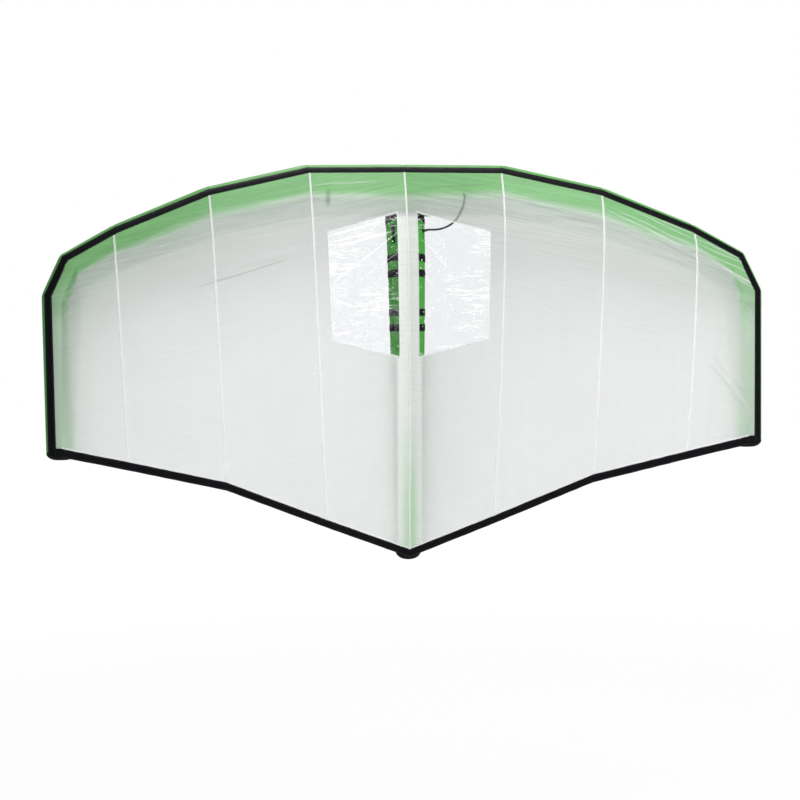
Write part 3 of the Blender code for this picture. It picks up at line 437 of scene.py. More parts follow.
def folds(along, across, long, short, seed):
    """Long thin wrinkles: noise drawn out along one way and pinched into ridges across it."""
    x, y = along / long, across / short
    return 0.6 - np.abs(value_noise(x, y, seed) + 0.5 * value_noise(x * 2.03 + 11.7, y * 2.03 + 11.7, seed + 1))


CREASES = (
    # each crease: side, start and end on the wing's plan, height and half width
    (1, (1.335, -0.87), (1.555, -1.16), 0.0045, 0.012),
    (1, (1.345, -0.98), (1.60, -1.20), 0.004, 0.011),
    (1, (0.93, -0.17), (1.58, -0.55), 0.004, 0.014),
    (1, (0.93, -0.20), (1.42, -0.52), 0.003, 0.010),
    (1, (0.80, -0.16), (1.25, -0.36), 0.003, 0.010),
    (1, (1.24, -0.28), (1.53, -0.54), 0.0035, 0.010),
    (-1, (0.97, -0.57), (0.47, -0.39), 0.004, 0.012),
    (-1, (1.35, -0.40), (0.93, -0.28), 0.003, 0.010),
    (-1, (1.50, -0.62), (1.05, -0.33), 0.003, 0.010),
    (-1, (0.85, -0.22), (0.36, -0.16), 0.003, 0.009),
    (1, (0.78, -0.20), (0.18, -0.12), 0.003, 0.009),
    (-1, (0.60, -0.20), (0.08, -0.13), 0.003, 0.009),
)
PLAN_TOP = float(LE.point(0.0, BAND_STARTS[0])[2])


def inside(t, margin):
    """1 between 0 and 1, falling to 0 at both ends."""
    return clamp(t / margin) * clamp((1 - t) / margin)


def crease_height(x, z, side):
    """Height of the single creases, each a ridge along a line that fades at both ends."""
    total = np.zeros(x.shape)
    for where, start, end, height, width in CREASES:
        if where == side:
            reach = math.dist(start, end)
            rx, rz = (end[0] - start[0]) / reach, (end[1] - start[1]) / reach
            dx, dz = x - start[0], z - PLAN_TOP - start[1]
            t = (dx * rx + dz * rz) / reach
            off = dz * rx - dx * rz + 0.008 * np.sin(t * 9.0 + height * 4000)
            total += 1.7 * height * inside(t, 0.25) * np.exp(-np.abs(off / width) ** 1.3)
    return total


def wrinkle(points, v, side):
    """How far the cloth stands out from its smooth surface."""
    x, z = points[..., 0], points[..., 2]
    seed = 10 if side > 0 else 50
    slope = np.interp(x, (0, 0.9, 1.6), (0.02, 0.25, 0.75))
    below = PLAN_TOP - z - x * slope * 0.35
    upper = np.exp(-((v - 0.09) / 0.09) ** 2)
    total = 0.0050 * upper * folds(x, below, 0.36, 0.034, seed)
    total += 0.0030 * upper * folds(x + z * 0.3, below, 0.22, 0.016, seed + 3)
    total += 0.0035 * value_noise(x / 0.30, z / 0.42, seed + 5)
    total += 0.0018 * clamp((v - 0.2) * 3) * folds(z + x * 0.15, x, 0.5, 0.06, seed + 7)
    total += 0.0014 * np.exp((v - 1) / 0.05) * np.sin(x * 70 + 3 * value_noise(x / 0.2, z / 0.2, seed + 9))
    total += crease_height(x, z, side)
    centre = clamp(x / AXIS_HALF_SPAN / 0.075)
    return np.maximum(total * inside(v, 0.03) * (0.12 + 0.88 * centre), -0.0045 * centre)


# Meshes


def placed(name, data):
    item = bpy.data.objects.new(name, data)
    bpy.context.scene.collection.objects.link(item)
    return item


def grid_object(name, points, metres=None, closed=False, inner=None, **weights):
    """Mesh through a grid of points with a UV map in metres; inner points make it a closed shell."""
    metres = pair(arc(points, 1), arc(points, 0)) if metres is None else metres
    rows, cols = points.shape[:2]
    count = rows * cols
    index = np.arange(count).reshape(rows, cols)
    after = np.roll(index, -1, axis=1) if closed else index[:, 1:]
    here = index if closed else index[:, :-1]
    quads = np.stack([here[:-1], after[:-1], after[1:], here[1:]], -1).reshape(-1, 4)
    uv = metres.reshape(-1, 2)
    corners = uv[quads]
    if closed:
        seam = corners[:, 1, 1] < corners[:, 0, 1]
        corners[seam, 1:3, 1] += metres[:, -1, 1].max() * cols / (cols - 1)
    layers, faces, uvs = [points], [quads], [corners]
    if inner is not None:
        layers.append(inner)
        faces.append(quads[:, ::-1] + count)
        uvs.append(corners[:, ::-1])
        rims = [index[0], index[-1][::-1]]
        if not closed:
            rims = [np.concatenate([index[0], index[1:, -1], index[-1, -2::-1], index[-2:0:-1, 0]])]
        for rim in rims:
            after = np.roll(rim, -1)
            faces.append(np.stack([after, rim, rim + count, after + count], -1))
            uvs.append(uv[faces[-1] % count])
    mesh = bpy.data.meshes.new(name)
    verts = np.concatenate([layer.reshape(-1, 3) for layer in layers])
    mesh.from_pydata(verts.tolist(), [], np.concatenate(faces).tolist())
    mesh.uv_layers.new(name="metres").data.foreach_set("uv", np.concatenate(uvs).astype(np.float32).reshape(-1))
    for key, values in weights.items():
        data = np.broadcast_to(values, (rows, cols)).reshape(-1)
        attribute = mesh.attributes.new(key, "FLOAT", "POINT")
        attribute.data.foreach_set("value", np.tile(data, len(layers)).astype(np.float32))
    mesh.shade_smooth()
    mesh.validate()
    return placed(name, mesh)


def finish_piece(made, kind, *nodes, body="wing"):
    """Gives a piece its look, the body it rides on and the nodes it stands for."""
    material, slot, sharp = looks[kind]
    made.data.materials.append(material)
    if made.type == "MESH":
        made.data.set_sharp_from_angle(angle=math.radians(sharp))
    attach(made, body)
    if nodes:
        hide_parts(*nodes)


@contextmanager
def edited(made):
    """An object's mesh, open for changes."""
    bm = bmesh.new()
    bm.from_mesh(made.data)
    bm.verts.ensure_lookup_table()
    bm.faces.ensure_lookup_table()
    yield bm
    bm.to_mesh(made.data)
    bm.free()


def join(target, others):
    with bpy.context.temp_override(active_object=target, selected_editable_objects=[target, *others]):
        bpy.ops.object.join()


# Materials


class Signal:
    """A node's output; arithmetic on it adds Math nodes."""

    def __init__(self, look, socket):
        self.look, self.socket = look, socket

    def to(self, operation, *others):
        inputs = {f"i{n}": value for n, value in enumerate((self, *others))}
        return self.look.add("Math", operation=operation, **inputs)

    __add__ = partialmethod(to, "ADD")
    __sub__ = partialmethod(to, "SUBTRACT")
    __mul__ = partialmethod(to, "MULTIPLY")
    __truediv__ = partialmethod(to, "DIVIDE")
    __lt__ = partialmethod(to, "LESS_THAN")
    __abs__ = partialmethod(to, "ABSOLUTE")
    at_least = partialmethod(to, "MAXIMUM")
    at_most = partialmethod(to, "MINIMUM")
    scaled = partialmethod(to, "MULTIPLY_ADD")


class Look:
    """A node tree and short calls that add nodes to it."""

    def __init__(self, owner, output="OutputMaterial"):
        owner.use_nodes = True
        self.owner, self.tree = owner, owner.node_tree
        self.tree.nodes.clear()
        self.out = self.tree.nodes.new("ShaderNode" + output)

    def put(self, socket, value):
        if isinstance(value, Signal):
            self.tree.links.new(value.socket, socket)
        else:
            socket.default_value = (*value, 1.0) if socket.type == "RGBA" else value

    def node(self, kind, **values):
        """New node; a capital starts an input's name, i and a number an input's place, all else is a setting."""
        node = self.tree.nodes.new("ShaderNode" + kind)
        for key, value in values.items():
            if key[0].isupper():
                self.put(node.inputs[key.replace("_", " ")], value)
            elif key[1:].isdigit():
                self.put(node.inputs[int(key[1:])], value)
            else:
                setattr(node, key, value)
        return node

    def add(self, kind, out=0, **values):
        return Signal(self, self.node(kind, **values).outputs[out])

    def split(self, vector):
        return [Signal(self, socket) for socket in self.node("SeparateXYZ", Vector=vector).outputs]

    def attribute(self, name):
        return self.add("Attribute", "Fac", attribute_name=name)

    def uv(self):
        return self.add("UVMap", uv_map="metres")

    def place(self, **mapping):
        spot = self.add("TexCoord", "Object")
        return self.add("Mapping", Vector=spot, **mapping) if mapping else spot

    def noise(self, vector, scale, detail=3.0, roughness=0.5):
        return self.add("TexNoise", "Fac", Vector=vector, Scale=scale, Detail=detail, Roughness=roughness)

    def cloud(self, scale, detail=3.0, roughness=0.5):
        """Noise in space."""
        return self.noise(self.place(), scale, detail, roughness)

    def lines(self, value, spacing, width):
        """1 on thin lines at a spacing, 0 between them."""
        off = abs((value / spacing).to("FRACT") - 0.5)
        return ((off - (0.5 - width)) / width).to("SMOOTH_MAX", 0.0, 0.05)

    def ramp(self, value, low, high, first=0.0, last=1.0):
        return self.add(
            "MapRange", interpolation_type="SMOOTHSTEP", Value=value,
            From_Min=low, From_Max=high, To_Min=first, To_Max=last,
        )

    def blend(self, share, first, second, kind="MIX"):
        return self.add("Mix", 2, data_type="RGBA", blend_type=kind, i0=share, i6=first, i7=second)

    def bump(self, height, strength, distance, **under):
        return self.add("Bump", Height=height, Strength=strength, Distance=distance, **under)

    def coat(self, colour, rough, normal, **more):
        return self.add("BsdfPrincipled", Base_Color=colour, Roughness=rough, Normal=normal, **more)

    def mix(self, share, first, second):
        return self.add("MixShader", i0=share, i1=first, i2=second)

    def both(self, first, second):
        return self.add("AddShader", i0=first, i1=second)

    def surface(self, shader):
        self.put(self.out.inputs["Surface"], shader)
        return self.owner


def material(name):
    return Look(bpy.data.materials.new(name))


def grey(level):
    return (level, level, level)


def shade(colour, factor, lift=0.0):
    return tuple(min(1, c * factor + lift) for c in colour)


def weave(look, vector, pitch):
    """Height of a plain weave with threads at a pitch."""
    warp, weft = (abs((part * (math.pi / pitch)).to("SINE")) for part in look.split(vector)[:2])
    return warp * weft


def stitches(look, edge, run, rows, pitch, share):
    """1 on the stitches of rows that stand at distances from an edge."""
    dash = (run / pitch).to("FRACT") < share
    total = None
    for row in rows:
        one = (abs(edge - row) < 0.0006) * dash
        total = total.at_least(one) if total else one
    return total


def painted_light_and_shade_lines(look, creases, waver, fade=4.0):
    """Sum of the strengths of single painted lines of light and shade (painted highlights, glints and shadows), each
    a thin straight line that fades at its ends.
    """
    x, _, z = look.split(look.place())
    sway = (look.cloud(5.0, 2.0) - 0.5) * waver
    x, z = x + sway, z + sway
    total = 0.0
    for ax, az, bx, bz, half_width, strength in (np.array(creases) / 1000).tolist():
        reach = math.hypot(bx - ax, bz - az)
        rx, rz = (bx - ax) / reach, (bz - az) / reach
        along = x.scaled(rx / reach, z.scaled(rz / reach, -(ax * rx + az * rz) / reach))
        off = x.scaled(-rz, z.scaled(rx, ax * rz - az * rx))
        near = abs(off).scaled(-1 / half_width, 1.0).at_least(0.0)
        shown = abs(along - 0.5).scaled(-fade, fade / 2).at_least(0.0).at_most(1.0)
        total = (near * shown).scaled(strength, total)
    return total


# Painted highlight and shade lines on the cloth's creases; each line in thousandths: x and z of its start and end,
# half width and strength, painted highlight above zero, painted shade below zero
CLOTH_HIGHLIGHT_AND_SHADE_LINES = (
    (855, -218, 1320, -470, 5, 500),
    (1250, -430, 1600, -626, 6.5, 850),
    (910, -223, 1312, -435, 4.5, 450),
    (1010, -236, 1327, -408, 4.5, 450),
    (1106, -272, 1313, -367, 4.5, 400),
    (1020, -298, 1330, -485, 4.5, 400),
    (1030, -378, 1330, -550, 5, 600),
    (1060, -436, 1330, -580, 4.5, 500),
    (1090, -392, 1350, -530, 4.5, 500),
    (1130, -380, 1360, -505, 4.5, 450),
    (1270, -364, 1480, -477, 5, 500),
    (1270, -391, 1540, -519, 4.5, 450),
    (1280, -423, 1540, -550, 4.5, 450),
    (1270, -438, 1560, -625, 5.5, 600),
    (1040, -346, 1330, -510, 6, -250),
    (660, -354, 1050, -404, 5, 300),
    (1350, -876, 1530, -1197, 8, 350),
    (1310, -928, 1440, -1069, 6, -220),
    (-950, -588, -500, -442, 4.5, -420),
    (-1200, -584, -980, -516, 5, 350),
    (-860, -383, -400, -322, 6, 300),
    (-620, -425, -160, -345, 5, 300),
    (-270, -160, -10, -92, 5.5, -400),
    (-450, -118, -60, -75, 6, 300),
    (60, -120, 400, -105, 6, -300),
    (-359, -130, -361, -222, 16, -550),
    (-430, -60, -422, -185, 3.5, -400),
)
# Painted glint lines on the window film, in the same columns as above
PAINTED_FILM_GLINT_LINES = (
    (-360, -350, -95, -272, 6, 750),
    (-345, -378, -150, -322, 5.5, 800),
    (-338, -398, -60, -318, 7, 1000),
    (-40, -320, -345, -560, 4, 700),
    (-20, -400, -250, -560, 2.8, 350),
    (-336, -787, -255, -766, 5, 600),
    (-310, -640, -255, -660, 4, 450),
    (50, -350, 170, -468, 4, 600),
    (110, -425, 185, -500, 3.5, 500),
    (60, -520, 115, -575, 3.5, 550),
)
CLOTH_WHITE = (0.84, 0.84, 0.845)
CLOTH_THREAD = 0.0011
RIPSTOP_GRID = (0.006, 0.06)
STREAK_SLOPE = 0.24
THROUGH_SHARE = 0.50
CLEAR_SHARE = 0.05
GREEN = (0.135, 0.50, 0.095)
# the strut is the same Dacron as the tubes; its own green stands in for how the light falls on it there: painted
# light
STRUT_LIT_COPY_GREEN = (0.11, 0.56, 0.07)
BLACK = (0.0045, 0.0045, 0.0060)


def painted_hose_shadow_lines():
    """Painted shadow of the hose on the cloth: short dark lines beside its route, shifted a little, in thousandths.
    """
    line = (HOSE_ROUTE[1:12, ::2] - HOSE_SLIP) * 1000
    half_width, strength = HOSE_RADIUS * 1.8 * 1000, 850
    return [(*a, *b, half_width, strength) for a, b in zip(line, line[1:])]


def canopy_cloth():
    """Thin coated ripstop: part reflects, part glows with the light behind it and part is clear; its colour also
    carries painted light: the tube's painted green glow, painted highlight and shade lines on its creases, painted
    shade in its folds and the hose's painted shadow.
    """
    look = material("canopy_ripstop")
    metres = look.uv()
    names = ("glow", "doubled", "near_hose", "crinkle")
    glow, doubled, near_hose, crinkle = (look.attribute(name) for name in names)
    rows, columns = (look.lines(part, *RIPSTOP_GRID) for part in look.split(metres)[:2])
    grid = rows.at_least(columns)
    x, y, z = look.split(look.place())
    aligned = look.add("CombineXYZ", i0=x, i1=y, i2=abs(x).scaled(STREAK_SLOPE, z))
    long = look.noise(look.add("Mapping", Vector=aligned, Scale=(1.5, 1.5, 46.0)), 1.6, 5.0, 0.62)
    fine = look.noise(look.add("Mapping", Vector=aligned, Scale=(4.0, 4.0, 90.0)), 1.6)
    normal = look.bump(long * 0.7 + fine * crinkle, 0.5, 0.010)
    normal = look.bump(weave(look, metres, CLOTH_THREAD) + grid, 0.12, 0.00012, Normal=normal)
    # painted highlight lines (above zero) and painted shade lines (below zero) along the cloth's creases
    ridge = painted_light_and_shade_lines(look, CLOTH_HIGHLIGHT_AND_SHADE_LINES, 0.020)
    bright = ridge.at_least(0.0)
    # painted shadow of the hose, shown on the cloth near it
    hose = painted_light_and_shade_lines(look, painted_hose_shadow_lines(), 0.0, fade=30.0).at_most(0.80)
    dark = (ridge * -1.0).at_least(0.0).at_least(hose * look.ramp(near_hose, 0.08, 0.20))
    # painted glow: the lit tube's green painted into the cloth's colour, weaker on the painted highlight lines
    painted_glow_tint = glow * bright.scaled(-0.75, 0.84)
    # painted shade: darker streaks in the troughs of the same noise that bumps the fine folds
    painted_streak = look.ramp(long, 0.40, 0.62, 1.0, 0.0) * (crinkle * 0.65)
    front = look.blend(look.ramp(look.cloud(3.0, 4.0), 0.3, 0.7), CLOTH_WHITE, shade(CLOTH_WHITE, 0.955))
    front = look.blend(grid * 0.25, front, grey(0.90))
    front = look.blend(doubled, front, (0.93, 0.93, 0.925))
    front = look.blend(painted_glow_tint, front, (0.20, 0.60, 0.17))
    # painted highlight: the crease lines are lightened towards white
    front = look.blend(bright * 0.8, front, grey(1.0))
    front = look.blend(painted_streak, front, grey(0.80), "MULTIPLY")
    # painted shade: dark crease lines and the hose's painted shadow
    front = look.blend(dark, front, (0.18, 0.22, 0.18))
    front = look.coat(front, 0.36, normal, Specular_IOR_Level=0.4)
    # the translucent colour carries the same painted glow
    through = look.blend(painted_glow_tint, (0.93, 0.94, 0.935), (0.30, 0.80, 0.27))
    # the same painted shade in the translucent colour
    through = look.blend(dark, through, (0.25, 0.28, 0.25))
    through = look.add("BsdfTranslucent", Color=through, Normal=normal)
    share = look.ramp(doubled, 0.0, 1.0, THROUGH_SHARE, THROUGH_SHARE * 0.20)
    # less translucency where the painted glow lies
    share = share * look.ramp(glow, 0.0, 0.45, 1.0, 0.40)
    opening = look.ramp(doubled, 0.0, 1.0, CLEAR_SHARE, CLEAR_SHARE * 0.4) + near_hose * 0.05
    hole = look.add("BsdfTransparent", Color=(0.95, 0.95, 0.955))
    return look.surface(look.mix(opening, look.mix(share, front, through), hole))


def seam_tape():
    """Thin white tape, with a faint painted glow (emission) that makes it brighter than the cloth that shows through
    it.
    """
    look = material("seam_tape")
    colour = look.blend(look.ramp(look.cloud(12.0), 0.3, 0.7), (0.97, 0.975, 0.97), (0.93, 0.935, 0.93))
    normal = look.bump(weave(look, look.uv(), CLOTH_THREAD), 0.15, 0.00012)
    front = look.coat(colour, 0.4, normal, Specular_IOR_Level=0.4)
    # painted glow: a little emission brightens the tape
    front = look.both(front, look.add("Emission", Color=grey(1.0), Strength=0.06))
    return look.surface(look.mix(0.50, front, look.add("BsdfTransparent", Color=grey(1.0))))


def dacron(name, colour, sheen):
    """Woven polyester of the tubes, thin enough to glow, with stitched joints."""
    look = material(name)
    metres = look.uv()
    edge = look.attribute("to_seam")
    cloud = look.cloud(5.0, 5.0, 0.55)
    base = look.blend(look.ramp(cloud, 0.35, 0.65, 0.0, 0.55), colour, shade(colour, 0.80))
    base = look.blend(look.cloud(240.0, 2.0) * 0.20, base, shade(colour, 1.25))
    rows = stitches(look, edge, look.split(metres)[1], (0.005, 0.011), 0.0065, 0.62)
    base = look.blend(rows, base, (0.02, 0.06, 0.025))
    normal = look.bump((edge < 0.016) * 4.0 + rows * 3.0, 0.6, 0.0002)
    normal = look.bump(weave(look, metres, 0.0013) + look.cloud(18.0) * 2.0, 0.35, 0.00045, Normal=normal)
    front = look.coat(
        base, look.ramp(cloud, 0.3, 0.7, 0.46, 0.60), normal,
        Sheen_Weight=sheen, Sheen_Roughness=0.35, Specular_IOR_Level=0.3,
    )
    through = look.add("BsdfTranslucent", Color=shade(colour, 1.6), Normal=normal)
    return look.surface(look.mix(0.25, front, through))


def webbing(name, rough, pitch=0.0022):
    """Black webbing: ribbed weave with a row of stitches along its edges."""
    look = material(name)
    metres = look.uv()
    run = look.split(metres)[0]
    ribs = abs((run * (math.pi / pitch)).to("SINE"))
    rows = stitches(look, look.attribute("to_edge"), run, (0.004,), 0.0055, 0.6)
    cloud = look.cloud(26.0, 4.0)
    base = look.blend(look.ramp(cloud, 0.4, 0.75, 0.0, 0.8), BLACK, shade(BLACK, 1.6, 0.001))
    base = look.blend(rows, base, (0.10, 0.10, 0.11))
    normal = look.bump(ribs + weave(look, metres, pitch / 2) + rows * 2.0, 0.6, 0.00035)
    rough = look.ramp(cloud, 0.3, 0.7, rough - 0.06, rough + 0.08)
    return look.surface(look.coat(base, rough, normal, Specular_IOR_Level=0.07))


def clear_film():
    """Thin clear film: see-through, with painted glints on its creases (white streaks, lines and specks) and a faint
    haze.
    """
    look = material("window_film")
    soft = look.cloud(9.0, 5.0, 0.62)
    crack = look.add("TexVoronoi", feature="DISTANCE_TO_EDGE", Vector=look.place(Scale=(1, 1, 1.4)), Scale=17.0)
    normal = look.bump(soft + crack.to("SMOOTH_MIN", 0.08, 0.03) * 1.8, 1.0, 0.010)
    scratch = look.noise(look.place(Scale=(60, 60, 22)), 1.0, 4.0, 0.7)
    normal = look.bump(scratch, 0.5, 0.0012, Normal=normal)
    # painted glints: white streaks, lines and specks mixed into the film
    drawn = look.noise(look.place(Rotation=(0, 0.62, 0), Scale=(4, 4, 34)), 1.0, 6.0, 0.68)
    painted_glint_sweeps = look.ramp(abs(drawn - 0.5), 0.0, 0.016, 1.0, 0.0) * look.ramp(look.cloud(5.0, 2.0), 0.46, 0.62)
    painted_glint_lines = painted_light_and_shade_lines(look, PAINTED_FILM_GLINT_LINES, 0.030) * look.ramp(look.cloud(40.0), 0.36, 0.50, 0.15, 1.0)
    speck = look.add("TexVoronoi", Vector=look.place(Scale=(1, 1, 0.7)), Scale=75.0)
    painted_glint_dots = look.ramp(speck, 0.10, 0.22, 1.0, 0.0) * look.ramp(look.cloud(11.0), 0.52, 0.60)
    painted_streak = painted_glint_sweeps.at_least(painted_glint_lines).at_least(painted_glint_dots)
    haze, painted_glint_shader = (
        look.both(look.add("BsdfDiffuse", Color=tone, Normal=normal), look.add("BsdfTranslucent", Color=tone))
        for tone in ((0.50, 0.51, 0.53), grey(1.0))
    )
    see = look.add("BsdfTransparent", Color=(0.85, 0.86, 0.875))
    body = look.mix(look.ramp(soft, 0.40, 0.80, 0.0, 0.045), see, haze)
    body = look.mix(painted_streak * 0.85, body, painted_glint_shader)
    return look.surface(look.both(body, look.add("BsdfGlossy", Color=grey(0.02), Roughness=0.14, Normal=normal)))


def bladder_film():
    """Milky film of the air bladders, which lets most light through."""
    look = material("bladder_film")
    cloud = look.cloud(14.0, 4.0)
    colour = look.blend(look.ramp(cloud, 0.3, 0.7), (0.80, 0.86, 0.82), (0.66, 0.72, 0.68))
    front = look.coat(colour, 0.25, look.bump(cloud, 0.4, 0.004))
    return look.surface(look.mix(0.65, front, look.add("BsdfTransparent", Color=(0.96, 0.98, 0.96))))


def moulded(name, colour, rough):
    """Moulded plastic or rubber with a fine grain and worn high spots."""
    look = material(name)
    cloud = look.cloud(60.0, 4.0)
    base = look.blend(look.ramp(cloud, 0.45, 0.8, 0.0, 0.6), colour, shade(colour, 1.8, 0.01))
    normal = look.bump(look.cloud(900.0, 2.0), 0.25, 0.0002)
    return look.surface(look.coat(base, look.ramp(cloud, 0.3, 0.7, rough - 0.05, rough + 0.1), normal))


def neoprene():
    """Padded cover of the grips: fine knit with a soft sheen."""
    look = material("grip_neoprene")
    base = look.blend(look.ramp(look.cloud(40.0, 4.0), 0.35, 0.75), (0.006, 0.006, 0.007), (0.016, 0.016, 0.018))
    normal = look.bump(look.add("TexVoronoi", Vector=look.uv(), Scale=700.0), 0.5, 0.0004)
    return look.surface(look.coat(
        base, 0.8, normal, Sheen_Weight=0.06, Sheen_Roughness=0.5, Specular_IOR_Level=0.15,
    ))


looks = {
    # each look: material, slot and the angle from which an edge is sharp
    "canopy": (canopy_cloth(), "canopy_ripstop", 80),
    "tape": (seam_tape(), "canopy_ripstop", 80),
    "tube": (dacron("green_dacron", GREEN, 0.28), "green_dacron", 80),
    # copy of the tubes' Dacron with its own green and less sheen, set for the strut's lighting: painted light
    "strut": (dacron("strut_dacron", STRUT_LIT_COPY_GREEN, 0.08), "green_dacron", 80),
    "film": (clear_film(), "clear_film", 80),
    "band": (webbing("edge_webbing", 0.46), "black_webbing", 60),
    "strap": (webbing("strap_webbing", 0.52), "black_webbing", 50),
    "cap": (webbing("cap_cloth", 0.5, pitch=0.0016), "black_webbing", 60),
    "plastic": (moulded("black_plastic", (0.016, 0.016, 0.018), 0.36), None, None),
    "rubber": (moulded("hose_rubber", grey(0.012), 0.30), "black_hose", None),
    "bladder": (bladder_film(), "bladder_film", 80),
    "metal": (moulded("zip_slider", (0.05, 0.05, 0.055), 0.30), None, None),
    "grip": (neoprene(), "handle_cover", 60),
}


# Canopy pieces


def seen_from_front(points):
    """Where points stand in a level view from the wing's front."""
    away = points[..., 1] + VIEW_DISTANCE
    return points[..., 0] / away, (points[..., 2] - VIEW_HEIGHT) / away


def strip_station(panel, u, angle):
    """Stations on the tube where a column runs straight on up to the band, seen from the front."""
    moved = station = panel_station(panel, u) + 0 * angle
    x_top, z_top = seen_from_front(canopy_point(panel, u, 0.0))
    x_low, z_low = seen_from_front(canopy_point(panel, u, 0.12))
    slope, step = (x_low - x_top) / (z_low - z_top), 0.01
    for _ in range(3):
        x, z = seen_from_front(LE.point(moved, angle, LAY_GAP))
        x_next, z_next = seen_from_front(LE.point(moved + step, angle, LAY_GAP))
        rate = ((x_next - x) - slope * (z_next - z)) / step
        moved = moved + (x_top + slope * (z - z_top) - x) / rate
    weight = clamp(station / 0.3) * clamp((4.6 - station) / 0.8)
    return station + np.clip(moved - station, -0.3, 0.3) * weight


def panel_points(panel, columns, rows, side):
    """Grid of a panel from under the seam band to the trailing edge, its chord shares and normals."""
    u, t = np.asarray(columns)[None, :], rows[1:, None]
    station = panel_station(panel, u)
    angle = between(under_band(station), leave_angle(station), np.linspace(0, 1, STRIP_ROWS + 1)[:, None])
    strip = LE.point(strip_station(panel, u, angle), angle, LAY_GAP)
    v = chord_share(panel, u, t)
    points = np.concatenate([strip, canopy_point(panel, u, v)])
    share = np.concatenate([np.zeros(strip.shape[:2]), v])
    normal = normals_of(points)
    height = wrinkle(points, share, side) * (smooth_step((1 - u) / 0.12) if panel == 3 else 1)
    return clear_of_tubes(points + normal * col(height), CLOTH_GAP), share, normal


def divided(stops, counts):
    """Numbers from 0 to the last stop, with so many from each stop to the next."""
    return np.concatenate([[0.0]] + [np.linspace(a, b, n)[1:] for a, b, n in zip(stops, stops[1:], counts)])


def make_panel(panel, side, word):
    columns, rows = np.linspace(0, 1, 45), EVEN_ROWS
    if panel == 0:
        columns = divided((0, *WINDOW_SIDES, 1), (6, 32, 8))
        rows = divided((0, *WINDOW_ROWS, 1), (24, 60, 76))
    points, share, _ = panel_points(panel, columns, rows, side)
    made = grid_object(f"canopy_{word}_{panel + 1}", mirror(points, side), **cloth_weights(points, share, side))
    if panel == 0:
        cut_window(made, columns, rows)
    if panel == 3:
        add_tip_wrap(made, points[STRIP_ROWS:, -1], side)
    finish_piece(made, "canopy", f"canopy_panel_{word}_{panel + 1}")
    declare_sheet(made, points)


def cut_window(made, columns, rows):
    """Removes the faces of the window opening."""
    over_u, over_t = (
        (low < (v[1:] + v[:-1]) / 2) & ((v[1:] + v[:-1]) / 2 < high)
        for v, (low, high) in ((columns, WINDOW_SIDES), (rows, WINDOW_ROWS))
    )
    hit = np.concatenate([np.zeros(STRIP_ROWS, bool), over_t])[:, None] & over_u
    with edited(made) as bm:
        bmesh.ops.delete(bm, geom=[bm.faces[i] for i in np.flatnonzero(hit)], context="FACES")


def add_tip_wrap(made, edge, side):
    """Joins to the tip panel its strip that lies on the tip tube, out to the seam band."""
    station = between(5, TE_TIP_STATION, EVEN_ROWS[:, None])
    k = np.linspace(0, 1, STRIP_ROWS + 1)[1:]
    wrap = LE.point(station, between(leave_angle(station), under_band(station), k), LAY_GAP)
    wrap = np.concatenate([edge[:, None], wrap], axis=1)
    weights = cloth_weights(wrap, np.broadcast_to(EVEN_ROWS[:, None], wrap.shape[:2]), side)
    join(made, [grid_object("wrap", mirror(wrap, side), **weights)])


def declare_sheet(made, points):
    width = float(arc(points, 1)[:, -1].max())
    length = float(arc(points, 0)[-1].max())
    area = sum(p.area for p in made.data.polygons)
    width = max(width, area / length)


def make_window(side, word):
    """Clear film in the window opening, with shallow wrinkles."""
    (low, high), (a, b) = WINDOW_SIDES, WINDOW_ROWS
    u, t = np.linspace(low, high, 40)[None, :], np.linspace(a, b, 80)[:, None]
    points = canopy_point(0, u, chord_share(0, u, t))
    x, z = points[..., 0], points[..., 2]
    seed = 3 if side > 0 else 8
    edge = clamp(np.minimum(np.minimum(u - low, high - u) * 12, np.minimum(t - a, b - t) * 14))
    lift = 0.0022 * folds(x + 0.8 * z, z - 0.5 * x, 0.30, 0.055, seed)
    lift += 0.0012 * value_noise(x / 0.03, z / 0.03, seed + 2)
    points = mirror(points + normals_of(points) * col(lift * edge), side)
    made = grid_object(f"clear_window_{word}", points)
    finish_piece(made, "film", f"window_{word}")
    declare_sheet(made, points)


def ribbon(name, line, across, normal, width, lift, crown, cells):
    """Flat band along a line: a closed shell with a slightly crowned face."""
    s = np.linspace(-0.5, 0.5, cells + 1)
    place = (s + 0.5) * width
    height = lift + crown * (1 - (2 * s) ** 2)
    points = line[:, None] + across[:, None] * col(s * width) + normal[:, None] * col(height)
    inner = points - normal[:, None] * (crown + 0.0002)
    to_edge = np.minimum(place, width - place)
    return grid_object(name, points, pair(arc(points, 0), place), inner=inner, to_edge=to_edge)


def make_seam_tapes(side, word):
    """White tapes over the panel seams; the middle one goes with the right side."""
    share = TAPE_WIDTH / 2 / (AXIS_HALF_SPAN * PANEL_SHARE)
    for seam in range(1 if side < 0 else 0, 4):
        outer, _, normal = panel_points(seam, [0, share], EVEN_ROWS, side)
        base, normal = outer[:, 0], normal[:, 0]
        if seam:
            normal = unit(normal + panel_points(seam - 1, [1 - share, 1], EVEN_ROWS, side)[2][:, 1])
        else:
            normal = np.broadcast_to(-Y_AXIS, base.shape)
        down = np.gradient(base, axis=0)
        across = unit(np.cross(normal, down))
        normal = facing(down, across, CANOPY_UP)
        below = arc(base[:, None], 0)[:, 0] > TAPE_START
        line = [mirror(part[below], side) for part in (base, across, normal)]
        made = ribbon(f"seam_tape_{word}_{seam}", *line, TAPE_WIDTH, TAPE_LIFT, TAPE_CROWN, 4)
        finish_piece(made, "tape")


